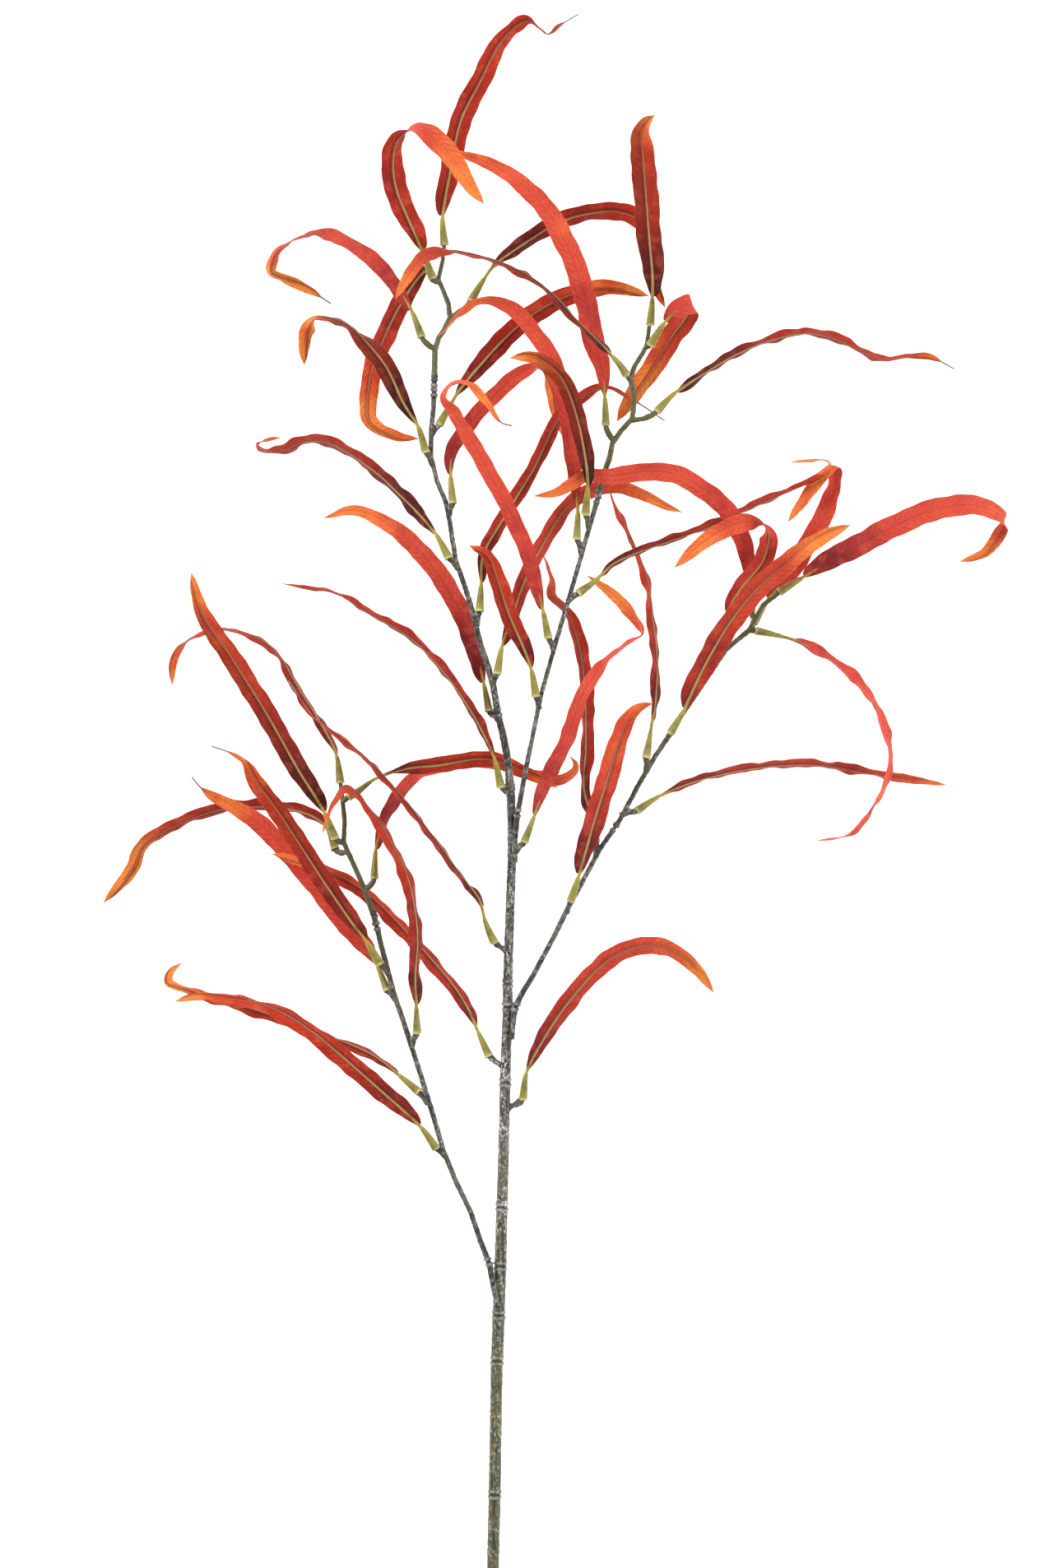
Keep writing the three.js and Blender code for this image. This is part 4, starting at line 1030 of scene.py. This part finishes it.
@dataclass
class SpurHeels:
    """The slanted feet of one stem's spurs, each up to the mouth of a leaf's sleeve."""

    stem: Stem
    drop: float = 9 * MM
    reach: float = 13 * MM
    sides: int = 16
    profile: tuple[tuple[float, float], ...] = (
        (0.0, 1.9), (0.2, 1.8), (0.45, 1.45), (0.62, 1.4), (0.72, 1.75), (0.82, 1.8), (0.9, 1.5), (1.0, 1.45),
    )

    def heel(self, leaf: Leaf) -> np.ndarray | None:
        """Makes one foot from the stem's middle up to a leaf's mouth.

        Args:
            leaf: The leaf that the spur carries.

        Returns:
            The foot's points, or None where the stem runs straight into the sleeve.
        """
        centre, at = self.stem.line()
        (mouth,), _, _ = leaf.along(np.array([0.0]))
        (ahead,), _, _ = leaf.along(np.array([2 * MM]))
        away = np.linalg.norm(centre - mouth, axis=1)
        foot = int(away.argmin())
        root = centre[max(0, foot - round(self.drop / (at[1] - at[0])))]
        slant = unit(mouth - root) @ unit(ahead - mouth)
        if foot == len(at) - 1 or away[foot] > self.reach or slant < 0.3:
            return None
        forward = unit(mouth - root)
        side = unit(np.cross(forward, [0.0, 0.0, 1.0]))
        shares, radii = np.transpose(self.profile)
        centres = root + (mouth - root) * shares[:, None]
        turns = np.linspace(0, 2 * math.pi, self.sides, endpoint=False)
        count = len(shares)
        grid = np.repeat(radii[:, None], self.sides, axis=1) * MM
        grid *= 1 + 0.06 * np.cos(3 * turns + leaf.number)[None, :]
        return lathed(
            centres, np.tile(side, (count, 1)), np.tile(np.cross(side, forward), (count, 1)), grid, turns,
        )

    def build(self, leaves: Sequence[Leaf], finish: bpy.types.Material) -> bpy.types.Object:
        """Makes the feet of all the stem's spurs as one piece.

        Args:
            leaves: The leaves that this stem carries.
            finish: The stem's material.

        Returns:
            The piece.
        """
        heels = [heel for leaf in leaves if (heel := self.heel(leaf)) is not None]
        faces = []
        for k in range(len(heels)):
            start = k * len(heels[0])
            faces += [tuple(start + i for i in f) for f in tube_faces(len(self.profile), self.sides)]
        points = np.concatenate(heels)
        return mesh_piece(self.stem.name + "_spurs", points, faces, finish, {
            "grain_at": points,
            "flecked": np.full(len(points), 0.7),
            "joint": np.zeros(len(points)),
            "worn": np.zeros(len(points)),
            "olive": np.full(len(points), 0.3),
        }, sharp_deg=80)


@dataclass
class JointCollar:
    """The moulded swelling where one stem is pushed onto another."""

    name: str
    at_mm: tuple[float, float, float]
    toward_mm: tuple[float, float, float]
    radius_mm: float
    slot: Slot = Slot.BARK
    sides: int = 22

    def build(self, finish: bpy.types.Material) -> bpy.types.Object:
        """Makes the swelling as a lumpy ring along the joint."""
        root, toward = placed([self.at_mm, self.toward_mm])
        forward = unit(toward - root)
        side = unit(np.cross(forward, [0.0, 0.0, 1.0]))
        facing = np.cross(side, forward)
        profile = np.array([
            (-1.7, 0.0), (-1.5, 0.35), (-1.0, 0.6), (-0.4, 0.62), (0.1, 0.42), (0.5, 0.3), (1.0, 0.5),
            (1.8, 0.52), (2.6, 0.35), (3.4, 0.08),
        ])
        turns = np.linspace(0, 2 * math.pi, self.sides, endpoint=False)
        centres = root + forward * (profile[:, :1] * MM)
        lumps = 0.14 * np.cos(3 * turns + self.radius_mm * 9)[None, :] + 0.08 * np.cos(5 * turns)[None, :]
        radii = self.radius_mm + profile[:, 1:2] * (1 + lumps * 1.6)
        count = len(profile)
        points = lathed(centres, np.tile(side, (count, 1)), np.tile(facing, (count, 1)), radii * MM, turns)
        groove = np.exp(-(((profile[:, 0] - 0.4) / 0.35) ** 2))
        return mesh_piece(self.name, points, tube_faces(count, self.sides), finish, {
            "grain_at": points,
            "flecked": np.full(len(points), 0.5),
            "joint": np.repeat(groove, self.sides),
            "worn": np.zeros(len(points)),
            "olive": np.full(len(points), 0.15),
        }, sharp_deg=80)


@dataclass(frozen=True)
class Studio:
    """A pale floor, soft light from all round and the camera above the spray."""

    lens_mm: float = 300.0
    sensor_mm: float = 36.0
    frame_high_mm: float = 953.0
    frame_middle_mm: tuple[float, float] = (-19.5, 28.5)
    focus_height_mm: float = 45.0
    floor_half: float = 6.0

    def floor(self) -> None:
        """Lays the pale floor just under the spray."""
        bench = NodeBench("pale_floor")
        places = bench.places()
        cloud = bench.speckle(places, 3.0, 2.0)
        colour = bench.mixed(cloud, tint((250, 250, 249)), tint((253, 253, 252)))
        material = bench.finish({
            "Base Color": colour, "Roughness": 0.9, "Specular IOR Level": 0.1,
            "Emission Color": (1, 1, 1, 1), "Emission Strength": 0.5,
        })
        mesh = bpy.data.meshes.new("floor")
        h = self.floor_half
        mesh.from_pydata([(-h, -h, 0), (h, -h, 0), (h, h, 0), (-h, h, 0)], [], [(0, 1, 2, 3)])
        mesh.materials.append(material)
        floor = bpy.data.objects.new("floor", mesh)
        floor.location.z = -0.4 * MM
        bpy.context.scene.collection.objects.link(floor)

    def light(self, name: str, at: tuple[float, float, float], size: float, watts: float) -> None:
        """Hangs one soft square light that faces the spray.

        Args:
            name: The light's name.
            at: Its place, in metres.
            size: Its side, in metres.
            watts: Its power.
        """
        data = bpy.data.lights.new(name, "AREA")
        data.shape = "SQUARE"
        data.size = size
        data.energy = watts
        lamp = bpy.data.objects.new(name, data)
        lamp.location = at
        lamp.rotation_euler = (-Vector(at)).to_track_quat("-Z", "Y").to_euler()
        bpy.context.scene.collection.objects.link(lamp)

    def camera(self) -> None:
        """Puts the camera straight above, as the photograph looks at the spray."""
        data = bpy.data.cameras.new("camera")
        data.lens = self.lens_mm
        data.sensor_width = self.sensor_mm
        far = self.frame_high_mm * self.lens_mm / self.sensor_mm
        camera = bpy.data.objects.new("camera", data)
        camera.location = (
            self.frame_middle_mm[0] * MM, self.frame_middle_mm[1] * MM, (far + self.focus_height_mm) * MM,
        )
        data.clip_end = 100
        bpy.context.scene.collection.objects.link(camera)
        bpy.context.scene.camera = camera

    def build(self) -> None:
        """Sets up the floor, the lights and the camera."""
        world = bpy.data.worlds.new("soft_room")
        world.use_nodes = True
        world.node_tree.nodes["Background"].inputs["Color"].default_value = (1, 1, 1, 1)
        world.node_tree.nodes["Background"].inputs["Strength"].default_value = 0.5
        bpy.context.scene.world = world
        bpy.context.scene.view_settings.view_transform = "Standard"
        self.floor()
        self.light("left_box", (-2.3, 0.9, 1.5), 1.6, 66)
        self.light("right_box", (2.3, -0.2, 1.6), 1.6, 58)
        self.light("far_box", (0.2, 2.6, 1.8), 1.6, 22)
        self.camera()


LEAVES = (
    Leaf(1, 0.92, 0.34, wire=True, form=BaseForm.LEFT, taper_bend=1.7),
    Leaf(2, 0.7, 0.36, slim=1.08),
    Leaf(3, 0.85, 0.36, form=BaseForm.NEITHER, slim=0.87, taper_bend=1.8),
    Leaf(4, 0.68, wire=True),
    Leaf(5, 0.8, dull=0.35),
    Leaf(6, 0.56, brown=0.8, slim=0.9, taper_bend=2.0),
    Leaf(7, 0.62, 0.02, form=BaseForm.NEITHER, dull=0.7),
    Leaf(8, 0.9, 0.0, form=BaseForm.LEFT, dull=0.2),
    Leaf(9, 0.72, 0.0, rib_to=0.68, dull=0.35, taper_bend=1.6),
    Leaf(10, 0.93, form=BaseForm.NEITHER, slim=0.85, taper_bend=1.6),
    Leaf(11, 0.84, 0.06, brown=0.9, dull=0.25, slim=0.9, shaded_half=0.35),
    Leaf(12, 0.84, dull=0.2),
    Leaf(13, 1.3, wire=True, long_stalk=True),
    Leaf(14, 0.63, 0.3, rib_highlight=1.0),
    Leaf(15, 0.8, 0.28, wire=True, dull=0.25),
    Leaf(16, 0.74, 0.36, wire=True, form=BaseForm.LEFT, dull=0.15),
    Leaf(17, 0.75, 0.32, long_stalk=True, brown=0.8),
    Leaf(18, 0.85, 0.12),
    Leaf(19, 0.78, 0.08, long_stalk=True),
    Leaf(20, 0.85, 0.04, form=BaseForm.LEFT),
    Leaf(21, 0.79, 0.26, slim=0.93, taper_bend=2.0),
    Leaf(22, 0.76, 0.3),
    Leaf(23, 0.74, 0.14, form=BaseForm.NEITHER, brown=0.5),
    Leaf(24, 0.8, 0.0, form=BaseForm.LEFT, brown=0.5, slim=0.88),
    Leaf(25, 0.95, form=BaseForm.LEFT, slim=0.92),
    Leaf(26, 0.74),
    Leaf(27, 1.3, 0.2, long_stalk=True),
    Leaf(28, 0.88, 0.1, shaded_half=0.4),
    Leaf(29, 0.8, 0.3),
    Leaf(30, 0.85, 0.02, dull=0.6, slim=0.88),
    Leaf(31, 0.9, 0.3, form=BaseForm.NEITHER, slim=0.92),
    Leaf(32, 0.7, 0.24, rib_to=0.74, form=BaseForm.LEFT, brown=0.6, shaded_half=0.4),
    Leaf(33, 0.68, rib_to=0.66, form=BaseForm.LEFT, brown=0.3, slim=0.85),
    Leaf(34, 0.66, rib_to=0.66, brown=0.2),
    Leaf(35, 0.8, 0.0, brown=0.6, slim=1.04, taper_bend=1.8),
    Leaf(36, 0.82, 0.1),
    Leaf(37, 0.9, 0.3, long_stalk=True),
    Leaf(38, 0.85, brown=0.5, slim=0.88),
    Leaf(39, 0.9, 0.0, wire=True),
    Leaf(40, 0.85, 0.04, form=BaseForm.RIGHT, dull=0.3, shaded_half=0.5, taper_bend=5.0),
    Leaf(41, 0.6, 0.3, form=BaseForm.BOTH, brown=0.6),
    Leaf(42, 0.84, 0.14, long_stalk=True, form=BaseForm.NEITHER),
    Leaf(43, 0.93, 0.04, long_stalk=True, form=BaseForm.NEITHER),
    Leaf(44, 0.6, 0.1, brown=0.5, slim=0.78),
    Leaf(45, 0.93, wire=True, brown=0.8, slim=0.88),
    Leaf(46, 0.72, 0.3, wire=True, slim=0.88),
    Leaf(47, 0.74, rib_to=0.72, brown=0.4),
)

STEMS = (
    Stem("main_stem", Slot.BARK, (
        (-1, 0, 3.4), (-0.5, 47, 8), (0.5, 90, 13), (1.5, 150, 19.5), (3, 200, 25), (5, 266, 32.5),
        (7, 342, 40), (8.5, 395, 45.5), (10, 450, 50.5), (11, 500, 54.5), (10.2, 520.5, 56),
    ), (90, 172, 200, 230, 266, 342, 389, 402),
        ((0.0, 0.62), (0.31, 0.56), (0.37, 0.28), (0.5, 0.34), (0.62, 0.28), (0.75, 0.1), (1.0, 0.05)),
        ((0.0, 1.1), (0.3, 1.3), (0.36, 1.5), (0.62, 1.4), (0.75, 1.1), (1.0, 0.9)),
        ((0.0, 0.45), (0.36, 0.4), (0.6, 0.12), (1.0, 0.1))),
    Stem("upper_left_branch", Slot.BARK, (
        (10, 521.2, 56.1), (8, 541.5, 57.6), (2.5, 566.5, 59), (-3.5, 595, 60.5), (-12, 625.5, 61.3),
        (-23, 659, 62), (-29, 694.5, 62), (-38, 722.5, 61.5), (-37.8, 739.5, 61), (-36, 769, 60),
    ), (566.5, 760, 766)),
    Stem("centre_right_branch", Slot.BARK, (
        (12.5, 477.5, 57.2), (14.5, 505, 58.7), (22.5, 547, 60), (38, 610.5, 60), (56, 672, 60),
        (64.5, 702, 60),
    ), (505, 696)),
    Stem("right_branch", Slot.BARK, (
        (11, 370, 47.2), (17, 396, 49.2), (36.5, 430.5, 51), (64.5, 484, 53), (88.5, 524, 54.5),
        (107.5, 554.5, 56),
    ), (387.5, 498), ((0.0, 0.0), (0.5, 0.1), (1.0, 0.3))),
    Stem("left_branch", Slot.BARK, (
        (2, 205, 31), (-3, 232, 32.4), (-14, 263, 34), (-30.5, 300, 37), (-49, 361, 42),
        (-60, 394, 45), (-72.5, 443, 48.5),
    ), (232, 438), ((0.0, 0.1), (0.6, 0.1), (1.0, 0.35))),
    Stem("upper_left_twig", Slot.TWIG, ((-36, 769.7, 60), (-30, 799, 59), (-30, 850.6, 56))),
    Stem("centre_right_twig", Slot.TWIG, ((64.6, 702.5, 60), (84, 745, 59), (94.5, 801.6, 58))),
    Stem("right_twig", Slot.TWIG, ((108, 555.2, 56), (141, 605, 58), (173.6, 639.8, 61.5))),
    Stem("left_twig", Slot.TWIG, ((-72.7, 443.7, 48.6), (-87.5, 480, 51.3), (-93, 524.6, 54))),
)

COLLARS = (
    JointCollar("upper_left_collar", (10.1, 521, 56.1), (9.5, 528.5, 56.8), 2.6),
    JointCollar("centre_right_collar", (12.5, 477.5, 57.2), (13, 490.5, 57.9), 1.5),
    JointCollar("right_collar", (11, 370, 47.2), (12.5, 385, 48.6), 1.35),
    JointCollar("left_collar", (2, 205, 31), (-0.5, 219.5, 31.8), 1.5),
    JointCollar("upper_left_twig_collar", (-36, 769.4, 60), (-35.5, 787, 59.5), 1.6),
    JointCollar("centre_right_twig_collar", (64.5, 702.2, 60), (67, 712, 60), 1.6),
    JointCollar("right_twig_collar", (107.8, 554.9, 56), (114, 565, 56.3), 1.5),
    JointCollar("left_twig_collar", (-72.6, 443.4, 48.5), (-75.5, 450.5, 49), 1.6),
)


def main() -> None:
    """Builds the studio, then each leaf and stem."""
    logging.basicConfig(level=logging.INFO, format="%(message)s")
    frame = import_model()
    nodes = frame["nodes"]
    Studio().build()
    cloth, rib = LeafCloth().material(), RibPlastic().material()
    sleeve, wire = SleevePlastic().material(), WireMetal().material()
    bark, twig = BarkPlastic().material(), TwigPlastic().material()
    for leaf in LEAVES:
        leaf.measure(nodes[leaf.name])
        made = [leaf.blade(cloth), leaf.rib(rib), leaf.sleeve(sleeve)]
        if leaf.wire:
            made.append(leaf.bare_wire(wire))
        LOG.info("%s: %s faces", leaf.name, sum(len(piece.data.polygons) for piece in made))
    carried = {stem.name: [] for stem in STEMS}
    for leaf in LEAVES:
        owner = min(STEMS, key=lambda stem: np.linalg.norm(stem.line()[0] - leaf.middle[0], axis=1).min())
        carried[owner.name].append(leaf)
    for stem in STEMS:
        finish = bark if stem.slot is Slot.BARK else twig
        piece = stem.build(nodes[stem.name], finish)
        LOG.info("%s: %s faces", stem.name, len(piece.data.polygons))
        if stem.slot is Slot.BARK:
            SpurHeels(stem).build(carried[stem.name], bark)
    for collar in COLLARS:
        piece = collar.build(bark)
        LOG.info("%s: %s faces", collar.name, len(piece.data.polygons))


if __name__ == "__main__":
    main()
